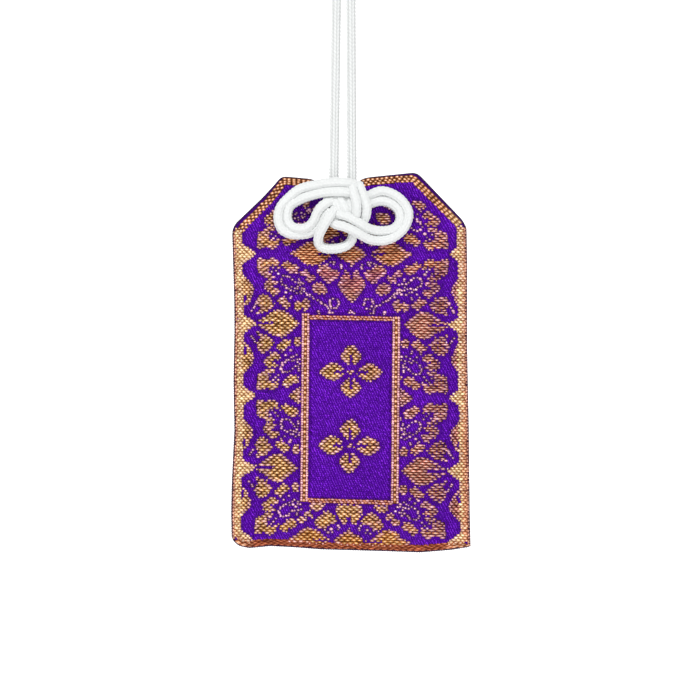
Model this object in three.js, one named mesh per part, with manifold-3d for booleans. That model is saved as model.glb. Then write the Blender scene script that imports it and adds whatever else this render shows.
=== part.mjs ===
// Omamori charm: a flat brocade pouch, threaded near its mouth with a braided
// cord. The cord wraps over the mouth, is tied at the front in a double
// kano knot (two doubled side loops and one lower loop), and its two ends
// rise as a hanging loop that is closed by an overhand end knot.
//
// Millimetres, +Z up. The front of the pouch faces -Y and +X is to the right
// of someone who looks at the front. The origin is the hang point: the
// underside of the end knot, between the two strands.

import * as THREE from 'three';
import { mergeVertices } from 'three/addons/utils/BufferGeometryUtils.js';
import Module from 'manifold-3d';

const wasm = await Module();
wasm.setup();

// ---------------------------------------------------------------- dimensions

const CORD_R = 0.95;               // braided cord, 2 mm nominal
const CORD_SIDES = 8;
const POUCH_Y = 0.3;               // depth offset that hangs the pouch under the strands

const PANEL_T = 0.6;               // brocade with its turned lining
const SEAM_Y = 0.5;                // front panel's rim, outer face
const EDGE_R = 2.5;                // width of the rolled edge
const EDGE_ROLL = 1.05;            // depth of the rolled edge
const BULGE = 1.95;                // how far the filled part stands out
const BULGE_C = [1.75, -99.5];     // centre of the filled part (x, z)
const BULGE_HALF = [21, 33];       // its half width and half height
const BULGE_FLAT = 0.75;           // share of it that is flat
const BACK_Y = 2.3;                // flat outer face of the back panel
const PANEL_C = [1.75, -95];       // centre the panel rings shrink to

const HOLE = [0, -58.6];           // punched cord hole (x, z)
const HOLE_R = 1.35;
const TIE_R = 0.75;                // cord where the hole squeezes it

const STRAND_TOP_Z = -0.8;         // hanging strands, upper and lower ends
const STRAND_FOOT_Z = -51.7;
const STRAND_L = [-1.97, -1.26];   // x of the left strand, foot and top
const STRAND_R = [1.85, 1.56];     // x of the right strand, foot and top

const BOARD = { w: 26, h: 43, t: 1.0, x: -0.55, z: -100.3, y: -0.33 };
const WRAP_GAP = 0.15;
const WRAP_T = 0.15;
const CARD = { w: 34, h: 51, t: 0.5, y0: 0.65 };
const INTERFACING_T = 0.25;
const INTERFACING_GAP = 0.15;
const INTERFACING_SHARE = 0.93;    // interfacing outline against the panel's

const THREAD_R = 0.13;
const THREAD_OUT = 0.45;           // stitches stand this far outside the rim
const THREAD_PITCH = 1.5;          // half a zigzag

const KNOT_BACK = -2.0;            // cord centre where loops lie on the pouch
const KNOT_FRONT = -4.2;           // cord centre of a band that passes over

// Pouch outline seen from the front, clockwise from the dip in the mouth (x, z).
const OUTLINE = [
  [2.06, -54.45], [3.77, -53.06], [5.26, -53.06], [15.9, -51.79],
  [26.0, -62.64], [26.51, -71.15], [26.34, -88.39], [26.71, -106.05],
  [26.88, -123.5], [27.07, -130.95], [23.13, -131.59], [17.81, -132.01],
  [9.09, -131.89], [1.85, -131.69], [-4.96, -131.37], [-10.28, -130.65],
  [-15.6, -130.42], [-22.51, -130.63], [-23.37, -129.3], [-23.58, -123.5],
  [-23.26, -116.48], [-22.88, -106.05], [-23.13, -95.41], [-22.88, -84.77],
  [-22.83, -78.39], [-23.15, -62.64], [-12.94, -52.11], [-6.87, -53.17],
  [-1.98, -54.45],
];

// Cord centre lines of the knot's loops (x, z), measured on the front.
const LEFT_OUTER = [
  [-5.55, -54.34], [-8.58, -54.87], [-11.56, -56.58], [-13.36, -59.02],
  [-13.73, -61.36], [-12.73, -63.28], [-10.92, -64.28], [-8.58, -64.34],
  [-6.3, -63.6],
];
const LEFT_INNER = [
  [-5.55, -56.5], [-8.3, -57.2], [-10.3, -58.5], [-11.35, -59.95],
  [-11.45, -61.1], [-10.75, -61.95], [-9.3, -62.1], [-7.72, -61.7],
  [-6.3, -61.1],
];
const RIGHT_OUTER = [
  [5.65, -55.5], [8.66, -55.0], [11.2, -55.6], [13.2, -57.4],
  [14.1, -59.66], [14.0, -61.7], [12.95, -64.0], [10.85, -65.5],
  [8.45, -66.0], [5.85, -65.6],
];
const RIGHT_INNER = [
  [5.65, -57.75], [8.66, -57.3], [10.45, -57.95], [11.5, -59.2],
  [11.8, -60.72], [11.2, -62.2], [10.0, -63.25], [8.45, -63.65],
  [5.9, -63.3],
];
const LOWER = [
  [-5.1, -63.75], [-5.15, -65.0], [-4.6, -66.2], [-3.5, -67.1],
  [-2.0, -67.5], [-0.3, -67.2], [1.1, -66.35], [1.85, -65.2],
  [1.9, -64.0],
];

// ------------------------------------------------------------------- helpers

const group = new THREE.Group();
const hung = new THREE.Group();
hung.position.y = POUCH_Y;
group.add(hung);

function add(parent, name, geometry, look) {
  const mesh = new THREE.Mesh(geometry, new THREE.MeshStandardMaterial(look));
  mesh.name = name;
  parent.add(mesh);
  return mesh;
}

// A closed three.js geometry as a solid that can be cut and joined.
function solid(geometry) {
  const bare = geometry.index ? geometry.toNonIndexed() : geometry.clone();
  for (const key of Object.keys(bare.attributes)) {
    if (key !== 'position') bare.deleteAttribute(key);
  }
  const merged = mergeVertices(bare, 1e-4);
  const tri = [];
  const index = merged.index.array;
  for (let i = 0; i < index.length; i += 3) {
    const [a, b, c] = [index[i], index[i + 1], index[i + 2]];
    if (a !== b && b !== c && c !== a) tri.push(a, b, c);
  }
  return new wasm.Manifold(new wasm.Mesh({
    numProp: 3,
    vertProperties: new Float32Array(merged.attributes.position.array),
    triVerts: new Uint32Array(tri),
  }));
}

function geometryOf(manifold) {
  const mesh = manifold.getMesh();
  const geometry = new THREE.BufferGeometry();
  geometry.setAttribute('position',
    new THREE.BufferAttribute(new Float32Array(mesh.vertProperties), 3));
  geometry.setIndex(new THREE.BufferAttribute(new Uint32Array(mesh.triVerts), 1));
  geometry.computeVertexNormals();
  return geometry;
}

function smoothstep(a, b, t) {
  const u = Math.min(1, Math.max(0, (t - a) / (b - a)));
  return u * u * (3 - 2 * u);
}

// Corners sharper than 20 degrees become short arcs, and long sides are split.
function softened(points, radius, step) {
  const n = points.length;
  const out = [];
  for (let i = 0; i < n; i++) {
    const p = new THREE.Vector2(...points[(i + n - 1) % n]);
    const q = new THREE.Vector2(...points[i]);
    const r = new THREE.Vector2(...points[(i + 1) % n]);
    const a = p.clone().sub(q), b = r.clone().sub(q);
    const turn = Math.PI - Math.acos(
      Math.max(-1, Math.min(1, a.dot(b) / (a.length() * b.length()))));
    if (turn > Math.PI / 9) {
      const cut = Math.min(radius, a.length() * 0.35, b.length() * 0.35);
      const arc = new THREE.QuadraticBezierCurve(
        q.clone().add(a.setLength(cut)), q, q.clone().add(b.setLength(cut)));
      out.push(...arc.getPoints(2));
    } else {
      out.push(q);
    }
  }
  const fine = [];
  for (let i = 0; i < out.length; i++) {
    const q = out[i], r = out[(i + 1) % out.length];
    const parts = Math.max(1, Math.round(q.distanceTo(r) / step));
    for (let k = 0; k < parts; k++) fine.push(q.clone().lerp(r, k / parts));
  }
  return fine;
}

const RIM = softened(OUTLINE, 0.9, 6.5);

function edgeDistance(x, z) {
  const point = new THREE.Vector3(x, z, 0);
  const near = new THREE.Vector3();
  let best = Infinity;
  for (let i = 0; i < RIM.length; i++) {
    const q = RIM[i], r = RIM[(i + 1) % RIM.length];
    new THREE.Line3(new THREE.Vector3(q.x, q.y, 0), new THREE.Vector3(r.x, r.y, 0))
      .closestPointToPoint(point, true, near);
    best = Math.min(best, near.distanceTo(point));
  }
  return best;
}

function bulge(x, z) {
  const u = Math.abs(x - BULGE_C[0]) / BULGE_HALF[0];
  const v = Math.abs(z - BULGE_C[1]) / BULGE_HALF[1];
  return (1 - smoothstep(BULGE_FLAT, 1, u)) * (1 - smoothstep(BULGE_FLAT, 1, v));
}

function frontFace(x, z) {
  const t = Math.min(1, edgeDistance(x, z) / EDGE_R);
  const roll = Math.sqrt(1 - (1 - t) * (1 - t));
  return SEAM_Y - EDGE_ROLL * roll - BULGE * bulge(x, z);
}

function backFace(share) {
  const table = [[0, BACK_Y], [0.7, BACK_Y], [0.8, 2.27], [0.9, 2.22],
    [0.95, 2.14], [1, 2.0]];
  for (let i = 1; i < table.length; i++) {
    const [s0, y0] = table[i - 1], [s1, y1] = table[i];
    if (share <= s1) return y0 + (y1 - y0) * (share - s0) / (s1 - s0);
  }
  return table[table.length - 1][1];
}

// A curved sheet: a lathe of rings whose circle is drawn out to the outline.
// rings run from the middle (0) to the rim (1); front and back give the two
// faces' depth at (x, z, ring).
function sheet(outline, rings, front, back) {
  const shares = [...rings, ...rings.slice().reverse()];
  const half = rings.length;
  const profile = shares.map((s, j) => new THREE.Vector2(s, j < half ? 0 : 1));
  const n = outline.length;
  const geometry = new THREE.LatheGeometry(profile, n);
  const pos = geometry.attributes.position;
  for (let i = 0; i <= n; i++) {
    for (let j = 0; j < shares.length; j++) {
      const q = outline[i % n], s = shares[j];
      const x = PANEL_C[0] + s * (q.x - PANEL_C[0]);
      const z = PANEL_C[1] + s * (q.y - PANEL_C[1]);
      pos.setXYZ(i * shares.length + j, x, (j < half ? front : back)(x, z, s), z);
    }
  }
  // Both faces split their quads along the same diagonal, so that layers nest.
  const index = [];
  const row = shares.length;
  for (let i = 0; i < n; i++) {
    for (let j = 0; j < row - 1; j++) {
      const a = i * row + j, b = a + row, c = b + 1, d = a + 1;
      if (j < half) index.push(a, b, d, c, d, b);
      else index.push(a, b, c, a, c, d);
    }
  }
  geometry.setIndex(index);
  return geometry;
}

// A flat plate with its outline in x, z, between two depths.
function plate(shape, y0, y1) {
  const geometry = new THREE.ExtrudeGeometry(shape,
    { depth: y1 - y0, bevelEnabled: false, steps: 1, curveSegments: 8 });
  geometry.rotateX(Math.PI / 2);
  geometry.translate(0, y1, 0);
  return geometry;
}

function disc(radius, sides) {
  const points = [];
  for (let i = 0; i < sides; i++) {
    const a = 2 * Math.PI * (i + 0.5) / sides;
    points.push(new THREE.Vector2(radius * Math.cos(a), radius * Math.sin(a)));
  }
  return new THREE.Shape(points);
}

function tube(points, radius, steps, sides = CORD_SIDES) {
  const curve = new THREE.CatmullRomCurve3(
    points.map((p) => new THREE.Vector3(...p)), false, 'centripetal');
  return new THREE.ExtrudeGeometry(disc(radius, sides),
    { steps, extrudePath: curve, bevelEnabled: false });
}

function punch(geometry) {
  const cutter = new THREE.CylinderGeometry(HOLE_R, HOLE_R, 20, 16);
  cutter.translate(HOLE[0], 0, HOLE[1]);
  return geometryOf(solid(geometry).subtract(solid(cutter)));
}

// --------------------------------------------------------------------- looks

const brocade = { color: 0x5d159e, roughness: 0.55, metalness: 0.1 };
const goldBrocade = { color: 0x6a2a92, roughness: 0.5, metalness: 0.15 };
const whiteCord = { color: 0xefefec, roughness: 0.8, metalness: 0 };
const lining = { color: 0xe8e4da, roughness: 0.9, metalness: 0 };
const card = { color: 0xcbb48c, roughness: 0.9, metalness: 0 };
const cedar = { color: 0xd9b27c, roughness: 0.7, metalness: 0 };
const paper = { color: 0xf4f1e8, roughness: 0.85, metalness: 0 };
const thread = { color: 0x4a1182, roughness: 0.6, metalness: 0 };

// --------------------------------------------------------------------- pouch

const FRONT_RINGS = [0, 0.45, 0.66, 0.73, 0.79, 0.86, 0.93, 0.965, 0.985, 1];
add(hung, 'front_panel', punch(sheet(RIM, FRONT_RINGS, frontFace,
  (x, z) => frontFace(x, z) + PANEL_T)), goldBrocade);

const BACK_RINGS = [0, 0.7, 0.8, 0.9, 0.95, 1];
add(hung, 'back_panel', punch(sheet(RIM, BACK_RINGS,
  (x, z, s) => backFace(s) - PANEL_T, (x, z, s) => backFace(s))), brocade);

const INNER_RIM = softened(OUTLINE, 0.9, 9).map((q) => new THREE.Vector2(
  PANEL_C[0] + INTERFACING_SHARE * (q.x - PANEL_C[0]),
  PANEL_C[1] + INTERFACING_SHARE * (q.y - PANEL_C[1])));
const interFront = (x, z) => frontFace(x, z) + PANEL_T + INTERFACING_GAP;
add(hung, 'front_interfacing', punch(sheet(RIM, FRONT_RINGS.filter((s) => s <= INTERFACING_SHARE),
  interFront, (x, z) => interFront(x, z) + INTERFACING_T)), lining);

add(hung, 'back_interfacing', punch(plate(new THREE.Shape(INNER_RIM), 1.3, 1.3 + INTERFACING_T)), lining);

const cardShape = new THREE.Shape();
{
  const x0 = BULGE_C[0] - CARD.w / 2, x1 = BULGE_C[0] + CARD.w / 2;
  const z0 = BULGE_C[1] - CARD.h / 2, z1 = BULGE_C[1] + CARD.h / 2, r = 2;
  cardShape.moveTo(x0 + r, z0);
  cardShape.lineTo(x1 - r, z0);
  cardShape.quadraticCurveTo(x1, z0, x1, z0 + r);
  cardShape.lineTo(x1, z1 - r);
  cardShape.quadraticCurveTo(x1, z1, x1 - r, z1);
  cardShape.lineTo(x0 + r, z1);
  cardShape.quadraticCurveTo(x0, z1, x0, z1 - r);
  cardShape.lineTo(x0, z0 + r);
  cardShape.quadraticCurveTo(x0, z0, x0 + r, z0);
}
add(hung, 'core_card', plate(cardShape, CARD.y0, CARD.y0 + CARD.t), card);

// Overcast stitches that close the two sides and the bottom.
function stitches(points, outward) {
  const line = new THREE.CurvePath();
  for (let i = 1; i < points.length; i++) {
    line.add(new THREE.LineCurve(new THREE.Vector2(...points[i - 1]),
      new THREE.Vector2(...points[i])));
  }
  const count = Math.round(line.getLength() / THREAD_PITCH);
  const path = line.getSpacedPoints(count).map((q, i) => [
    q.x + outward[0] * THREAD_OUT, i % 2 ? 1.75 : 0.75, q.y + outward[1] * THREAD_OUT]);
  return tube(path, THREAD_R, count, 5);
}
const at = (i) => OUTLINE[i];
add(hung, 'right_seam_thread', stitches([[26.1, -64.3], at(5), at(6), at(7), at(8), [27.0, -129.4]], [1, 0]), thread);
add(hung, 'left_seam_thread', stitches([[-23.12, -64.3], at(24), at(23), at(22), at(21), at(20), at(19), [-23.42, -128.2]], [-1, 0]), thread);
add(hung, 'bottom_seam_thread', stitches([[25.4, -131.25], at(10), at(11), at(12), at(13), at(14), at(15), at(16), [-21.4, -130.6]], [0, -1]), thread);

// ------------------------------------------------------------------ talisman

const boardShape = new THREE.Shape();
{
  const x0 = BOARD.x - BOARD.w / 2, x1 = BOARD.x + BOARD.w / 2;
  const z0 = BOARD.z - BOARD.h / 2, z1 = BOARD.z + BOARD.h / 2, c = 4;
  boardShape.moveTo(x0, z0);
  boardShape.lineTo(x1, z0);
  boardShape.lineTo(x1, z1 - c);
  boardShape.lineTo(x1 - c * 1.6, z1);
  boardShape.lineTo(x0 + c * 1.6, z1);
  boardShape.lineTo(x0, z1 - c);
  boardShape.closePath();
}
add(hung, 'talisman_board', plate(boardShape, BOARD.y - BOARD.t / 2, BOARD.y + BOARD.t / 2), cedar);

const sleeve = new THREE.Shape();
{
  const hx = BOARD.w / 2 + WRAP_GAP, hy = BOARD.t / 2 + WRAP_GAP;
  const box = (path, a, b) => {
    path.moveTo(BOARD.x - a, BOARD.y - b);
    path.lineTo(BOARD.x + a, BOARD.y - b);
    path.lineTo(BOARD.x + a, BOARD.y + b);
    path.lineTo(BOARD.x - a, BOARD.y + b);
    path.closePath();
    return path;
  };
  box(sleeve, hx + WRAP_T, hy + WRAP_T);
  sleeve.holes.push(box(new THREE.Path(), hx, hy));
}
const wrapper = new THREE.ExtrudeGeometry(sleeve, { depth: BOARD.h + 1, bevelEnabled: false, steps: 1 });
wrapper.translate(0, 0, BOARD.z - BOARD.h / 2 - 0.5);
add(hung, 'talisman_wrapper', wrapper, paper);

// ---------------------------------------------------------------------- knot

const flatLoop = (line, y0, y1) => line.map(([x, z], i) => {
  const t = i / (line.length - 1);
  return [x, y0(t) * (1 - t) + y1(t) * t, z];
});
const lying = () => KNOT_BACK;
add(hung, 'left_loop_outer', tube(flatLoop(LEFT_OUTER, lying, lying), CORD_R, 11), whiteCord);
add(hung, 'left_loop_inner', tube(flatLoop(LEFT_INNER, lying, lying), CORD_R, 10), whiteCord);
add(hung, 'right_loop_outer', tube(flatLoop(RIGHT_OUTER, lying, lying), CORD_R, 12), whiteCord);
add(hung, 'right_loop_inner', tube(flatLoop(RIGHT_INNER, lying, lying), CORD_R, 10), whiteCord);
add(hung, 'lower_loop', tube(LOWER.map(([x, z], i) => [x,
  KNOT_BACK + (KNOT_FRONT + 0.3 - KNOT_BACK) * (1 - smoothstep(0, 3, i)), z]), CORD_R, 9), whiteCord);

// The knot's body: a woven square of four doubled bands, each over the next,
// on the turns of cord behind it, and the two stubs the strands rise from.
const core = new THREE.Shape();
{
  const x0 = -4.6, x1 = 4.6, z0 = -62.7, z1 = -53.6, r = 1.6;
  core.moveTo(x0 + r, z0);
  core.lineTo(x1 - r, z0);
  core.quadraticCurveTo(x1, z0, x1, z0 + r);
  core.lineTo(x1, z1 - r);
  core.quadraticCurveTo(x1, z1, x1 - r, z1);
  core.lineTo(x0 + r, z1);
  core.quadraticCurveTo(x0, z1, x0, z1 - r);
  core.lineTo(x0, z0 + r);
  core.quadraticCurveTo(x0, z0, x0 + r, z0);
}
let body = solid(plate(core, -4.6, -1.75));
const bands = [
  [[-5.15, -3.1, -54.4], [-3.2, -4.25, -54.2], [0.2, -4.45, -54.15], [3.2, -3.4, -54.6]],
  [[-5.15, -3.1, -56.4], [-3.2, -4.25, -56.2], [0.2, -4.45, -56.1], [3.2, -3.4, -56.2]],
  [[2.1, -3.5, -53.8], [2.15, -4.5, -55.6], [2.1, -4.5, -58.4], [2.1, -3.4, -61.2]],
  [[4.1, -3.3, -54.2], [4.2, -4.3, -56.0], [4.2, -4.4, -58.6], [4.1, -3.4, -61.2]],
  [[5.2, -3.1, -60.4], [3.4, -4.2, -60.2], [0, -4.45, -60.1], [-3.2, -3.4, -60.0]],
  [[5.2, -3.1, -62.5], [3.4, -4.2, -62.2], [0, -4.4, -62.05], [-3.2, -3.4, -61.9]],
  [[-2.0, -3.4, -56.6], [-2.05, -4.4, -58.6], [-2.2, -4.5, -60.8], [-2.6, -3.6, -62.9]],
  [[-4.1, -3.4, -56.6], [-4.15, -4.35, -58.6], [-4.3, -4.4, -60.8], [-4.6, -3.8, -62.9]],
  [[STRAND_L[0], -POUCH_Y, STRAND_FOOT_Z - 0.45], [STRAND_L[0], -POUCH_Y - 0.15, -52.9], [-1.95, -2.0, -54.4], [-1.9, -2.7, -55.4]],
  [[STRAND_R[0], -POUCH_Y, STRAND_FOOT_Z - 0.45], [STRAND_R[0], -POUCH_Y - 0.15, -52.9], [1.9, -2.0, -54.4], [1.9, -2.7, -55.4]],
];
for (const band of bands) body = body.add(solid(tube(band, CORD_R, 5)));
add(hung, 'knot_body', geometryOf(body), whiteCord);

// The turn of cord that goes through the hole and back over the mouth.
add(hung, 'mouth_tie', tube([
  [0, -1.3, -58.6], [0, 1.0, -58.6], [0, 2.6, -58.45], [0, 3.4, -57.6],
  [0, 3.45, -55.6], [0, 3.0, -54.0], [0, 2.0, -53.25], [0, 0.8, -53.1],
  [0, -0.4, -53.2], [0, -1.2, -53.5],
], TIE_R, 14), whiteCord);

// -------------------------------------------------------------- hanging loop

function strand([foot, top]) {
  const points = [];
  for (let i = 0; i <= 4; i++) {
    const t = i / 4;
    points.push([foot + (top - foot) * t, 0, STRAND_FOOT_Z + (STRAND_TOP_Z - STRAND_FOOT_Z) * t]);
  }
  return tube(points, CORD_R, 10);
}
add(group, 'hanging_strand_left', strand(STRAND_L), whiteCord);
add(group, 'hanging_strand_right', strand(STRAND_R), whiteCord);

const endKnot = new THREE.LatheGeometry([
  [0, 0.6], [1.9, 0.65], [2.85, 1.5], [3.25, 2.9], [3.1, 4.5], [2.4, 6.0], [1.6, 6.6], [0, 6.65],
].map(([r, z]) => new THREE.Vector2(r, z)), 16);
endKnot.rotateX(Math.PI / 2);
endKnot.translate(0.15, 0, 0);
add(group, 'end_knot', endKnot, whiteCord);

add(group, 'cord_tail_left', tube([[-0.95, 0, 6.95], [-1.5, -0.1, 9.2], [-2.6, -0.3, 11.4], [-4.1, -0.5, 13.0]], CORD_R, 4), whiteCord);
add(group, 'cord_tail_right', tube([[1.2, 0, 6.95], [1.7, 0.1, 9.0], [2.7, 0.2, 11.0], [4.0, 0.3, 12.2]], CORD_R, 4), whiteCord);

export default group;
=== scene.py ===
import math

import bpy
import numpy as np
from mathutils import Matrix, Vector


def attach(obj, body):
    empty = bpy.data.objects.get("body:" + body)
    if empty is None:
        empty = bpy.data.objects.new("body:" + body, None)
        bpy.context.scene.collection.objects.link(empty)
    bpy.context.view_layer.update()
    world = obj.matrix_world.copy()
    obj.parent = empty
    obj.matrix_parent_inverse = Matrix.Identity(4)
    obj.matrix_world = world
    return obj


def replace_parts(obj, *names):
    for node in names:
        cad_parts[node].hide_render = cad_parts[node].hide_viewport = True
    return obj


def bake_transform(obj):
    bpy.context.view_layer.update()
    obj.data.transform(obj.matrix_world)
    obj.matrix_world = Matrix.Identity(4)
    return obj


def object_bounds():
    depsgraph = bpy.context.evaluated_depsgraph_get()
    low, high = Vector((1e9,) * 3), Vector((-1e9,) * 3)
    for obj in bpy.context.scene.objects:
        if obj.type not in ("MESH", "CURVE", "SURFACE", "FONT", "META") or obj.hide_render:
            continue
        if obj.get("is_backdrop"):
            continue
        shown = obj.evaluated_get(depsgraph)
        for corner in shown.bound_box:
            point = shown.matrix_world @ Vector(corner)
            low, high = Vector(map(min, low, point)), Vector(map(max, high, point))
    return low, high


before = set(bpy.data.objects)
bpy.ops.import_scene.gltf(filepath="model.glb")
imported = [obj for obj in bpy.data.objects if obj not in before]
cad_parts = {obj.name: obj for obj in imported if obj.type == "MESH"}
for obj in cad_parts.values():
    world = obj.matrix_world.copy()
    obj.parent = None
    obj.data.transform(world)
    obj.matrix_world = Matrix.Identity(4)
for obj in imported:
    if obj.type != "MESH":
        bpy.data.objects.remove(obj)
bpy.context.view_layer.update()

rng = np.random.default_rng(8)
MM = 0.001

# ------------------------------------------------------------------ the view
# A long lens square on to the front. One picture point is PX millimetres in
# the plane y = 0, and the middle of the picture is at (VIEW_X, VIEW_Z).
PX = 0.2128
VIEW_X, VIEW_Z = 1.426, -89.03
VIEW_D = 496.53

camera = bpy.data.cameras.new("camera")
camera.lens = 120
camera.sensor_width = 36
camera.clip_start, camera.clip_end = 0.02, 20
camera_object = bpy.data.objects.new("camera", camera)
bpy.context.scene.collection.objects.link(camera_object)
camera_object.location = (VIEW_X * MM, -VIEW_D * MM, VIEW_Z * MM)
camera_object.rotation_euler = (math.pi / 2, 0, 0)
bpy.context.scene.camera = camera_object
bpy.context.scene.view_settings.view_transform = "Standard"


def to_mm(px, py, y):
    """The x and z of picture point (px, py) on a surface at depth y."""
    k = PX * (1 + y / VIEW_D)
    return VIEW_X + (px - 350) * k, VIEW_Z - (py - 350) * k


def to_px(x, z, y):
    k = PX * (1 + y / VIEW_D)
    return 350 + (x - VIEW_X) / k, 350 - (z - VIEW_Z) / k


# ------------------------------------------------------------------- meshes

def build(name, verts, quads=None, tris=None, material=None, smooth=True):
    """A mesh object from vertices in millimetres."""
    verts = np.asarray(verts, float)
    groups = []
    if quads is not None and len(quads):
        groups.append(np.asarray(quads, np.int64))
    if tris is not None and len(tris):
        groups.append(np.asarray(tris, np.int64))
    mesh = bpy.data.meshes.new(name)
    mesh.vertices.add(len(verts))
    mesh.vertices.foreach_set("co", (verts * MM).astype(np.float32).ravel())
    loops = np.concatenate([g.ravel() for g in groups])
    sizes = np.concatenate([np.full(len(g), g.shape[1]) for g in groups])
    starts = np.concatenate([[0], np.cumsum(sizes)[:-1]])
    mesh.loops.add(len(loops))
    mesh.loops.foreach_set("vertex_index", loops.astype(np.int32))
    mesh.polygons.add(len(sizes))
    mesh.polygons.foreach_set("loop_start", starts.astype(np.int32))
    mesh.polygons.foreach_set("use_smooth", np.full(len(sizes), smooth))
    mesh.update(calc_edges=True)
    mesh.validate()
    thing = bpy.data.objects.new(name, mesh)
    bpy.context.scene.collection.objects.link(thing)
    if material is not None:
        mesh.materials.append(material)
    return thing


def smoothstep(a, b, x):
    t = np.clip((np.asarray(x, float) - a) / (b - a), 0, 1)
    return t * t * (3 - 2 * t)


def through(points, step):
    """A smooth line through the points, at equal steps along its length."""
    p = np.asarray(points, float)
    first, last = 2 * p[0] - p[1], 2 * p[-1] - p[-2]
    q = np.vstack([first, p, last])
    line = []
    for i in range(1, len(q) - 2):
        a, b, c, d = q[i - 1], q[i], q[i + 1], q[i + 2]
        t1 = np.linalg.norm(b - a) ** 0.5
        t2 = t1 + np.linalg.norm(c - b) ** 0.5
        t3 = t2 + np.linalg.norm(d - c) ** 0.5
        t = np.linspace(t1, t2, 40, endpoint=False)[:, None]
        a1 = (t1 - t) / t1 * a + t / t1 * b
        a2 = (t2 - t) / (t2 - t1) * b + (t - t1) / (t2 - t1) * c
        a3 = (t3 - t) / (t3 - t2) * c + (t - t2) / (t3 - t2) * d
        b1 = (t2 - t) / t2 * a1 + t / t2 * a2
        b2 = (t3 - t) / (t3 - t1) * a2 + (t - t1) / (t3 - t1) * a3
        line.append((t2 - t) / (t2 - t1) * b1 + (t - t1) / (t2 - t1) * b2)
    line = np.vstack(line + [p[-1:]])
    lengths = np.concatenate([[0], np.cumsum(np.linalg.norm(np.diff(line, axis=0), axis=1))])
    count = max(3, int(round(lengths[-1] / step)) + 1)
    at = np.linspace(0, lengths[-1], count)
    return np.stack([np.interp(at, lengths, line[:, k]) for k in range(3)], axis=1)


# ---------------------------------------------------------------- materials

class Nodes:
    """A node material, built one node at a time."""

    def __init__(self, name):
        self.material = bpy.data.materials.new(name)
        self.material.use_nodes = True
        self.tree = self.material.node_tree
        self.tree.nodes.clear()
        self.out = self.tree.nodes.new("ShaderNodeOutputMaterial")
        self.shader = self.tree.nodes.new("ShaderNodeBsdfPrincipled")
        self.link(self.shader.outputs["BSDF"], self.out.inputs["Surface"])

    def link(self, a, b):
        self.tree.links.new(a, b)

    def add(self, kind, **settings):
        node = self.tree.nodes.new(kind)
        for key, value in settings.items():
            if hasattr(node, key):
                setattr(node, key, value)
            else:
                node.inputs[key.replace("_", " ")].default_value = value
        return node

    def place(self, scale=(1, 1, 1), rotation=(0, 0, 0)):
        """Object coordinates in millimetres, turned and scaled."""
        where = self.add("ShaderNodeTexCoord")
        mapping = self.add("ShaderNodeMapping", vector_type="TEXTURE")
        mapping.inputs["Scale"].default_value = [MM / s for s in scale]
        mapping.inputs["Rotation"].default_value = rotation
        self.link(where.outputs["Object"], mapping.inputs["Vector"])
        return mapping.outputs["Vector"]

    def noise(self, vector, scale, detail=3.0, rough=0.55):
        node = self.add("ShaderNodeTexNoise")
        node.inputs["Scale"].default_value = scale
        node.inputs["Detail"].default_value = detail
        node.inputs["Roughness"].default_value = rough
        self.link(vector, node.inputs["Vector"])
        return node.outputs["Fac"]

    def wave(self, vector, period, direction="X", distortion=0.0, detail_scale=1.0):
        node = self.add("ShaderNodeTexWave", bands_direction=direction)
        node.inputs["Scale"].default_value = 0.31416 / period
        node.inputs["Distortion"].default_value = distortion
        node.inputs["Detail"].default_value = 1.0
        node.inputs["Detail Scale"].default_value = detail_scale
        self.link(vector, node.inputs["Vector"])
        return node.outputs["Fac"]

    def math(self, kind, a, b):
        node = self.add("ShaderNodeMath", operation=kind)
        for socket, value in zip(node.inputs, (a, b)):
            if isinstance(value, (int, float)):
                socket.default_value = value
            else:
                self.link(value, socket)
        return node.outputs["Value"]

    def ramp(self, factor, *stops):
        node = self.add("ShaderNodeValToRGB")
        band = node.color_ramp
        while len(band.elements) < len(stops):
            band.elements.new(0.5)
        for element, (at, colour) in zip(band.elements, stops):
            element.position = at
            element.color = (*colour, 1)
        self.link(factor, node.inputs["Fac"])
        return node.outputs["Color"]

    def mix(self, kind, factor, a, b):
        node = self.add("ShaderNodeMix", data_type="RGBA", blend_type=kind)
        sockets = {s.identifier: s for s in node.inputs}
        for key, value in (("Factor_Float", factor), ("A_Color", a), ("B_Color", b)):
            if isinstance(value, (int, float)):
                sockets[key].default_value = value
            elif isinstance(value, tuple):
                sockets[key].default_value = (*value, 1)
            else:
                self.link(value, sockets[key])
        return next(s for s in node.outputs if s.identifier == "Result_Color")

    def bump(self, height, distance, strength=1.0):
        node = self.add("ShaderNodeBump")
        node.inputs["Strength"].default_value = strength
        node.inputs["Distance"].default_value = distance * MM
        self.link(height, node.inputs["Height"])
        self.link(node.outputs["Normal"], self.shader.inputs["Normal"])

    def set(self, **values):
        for key, value in values.items():
            self.shader.inputs[key.replace("_", " ")].default_value = value

    def colour(self, socket):
        self.link(socket, self.shader.inputs["Base Color"])


def lin(r, g, b):
    """An 0 to 255 display colour as linear light."""
    out = []
    for v in (r, g, b):
        v = v / 255
        out.append(v / 12.92 if v <= 0.04045 else ((v + 0.055) / 1.055) ** 2.4)
    return tuple(out)


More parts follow.
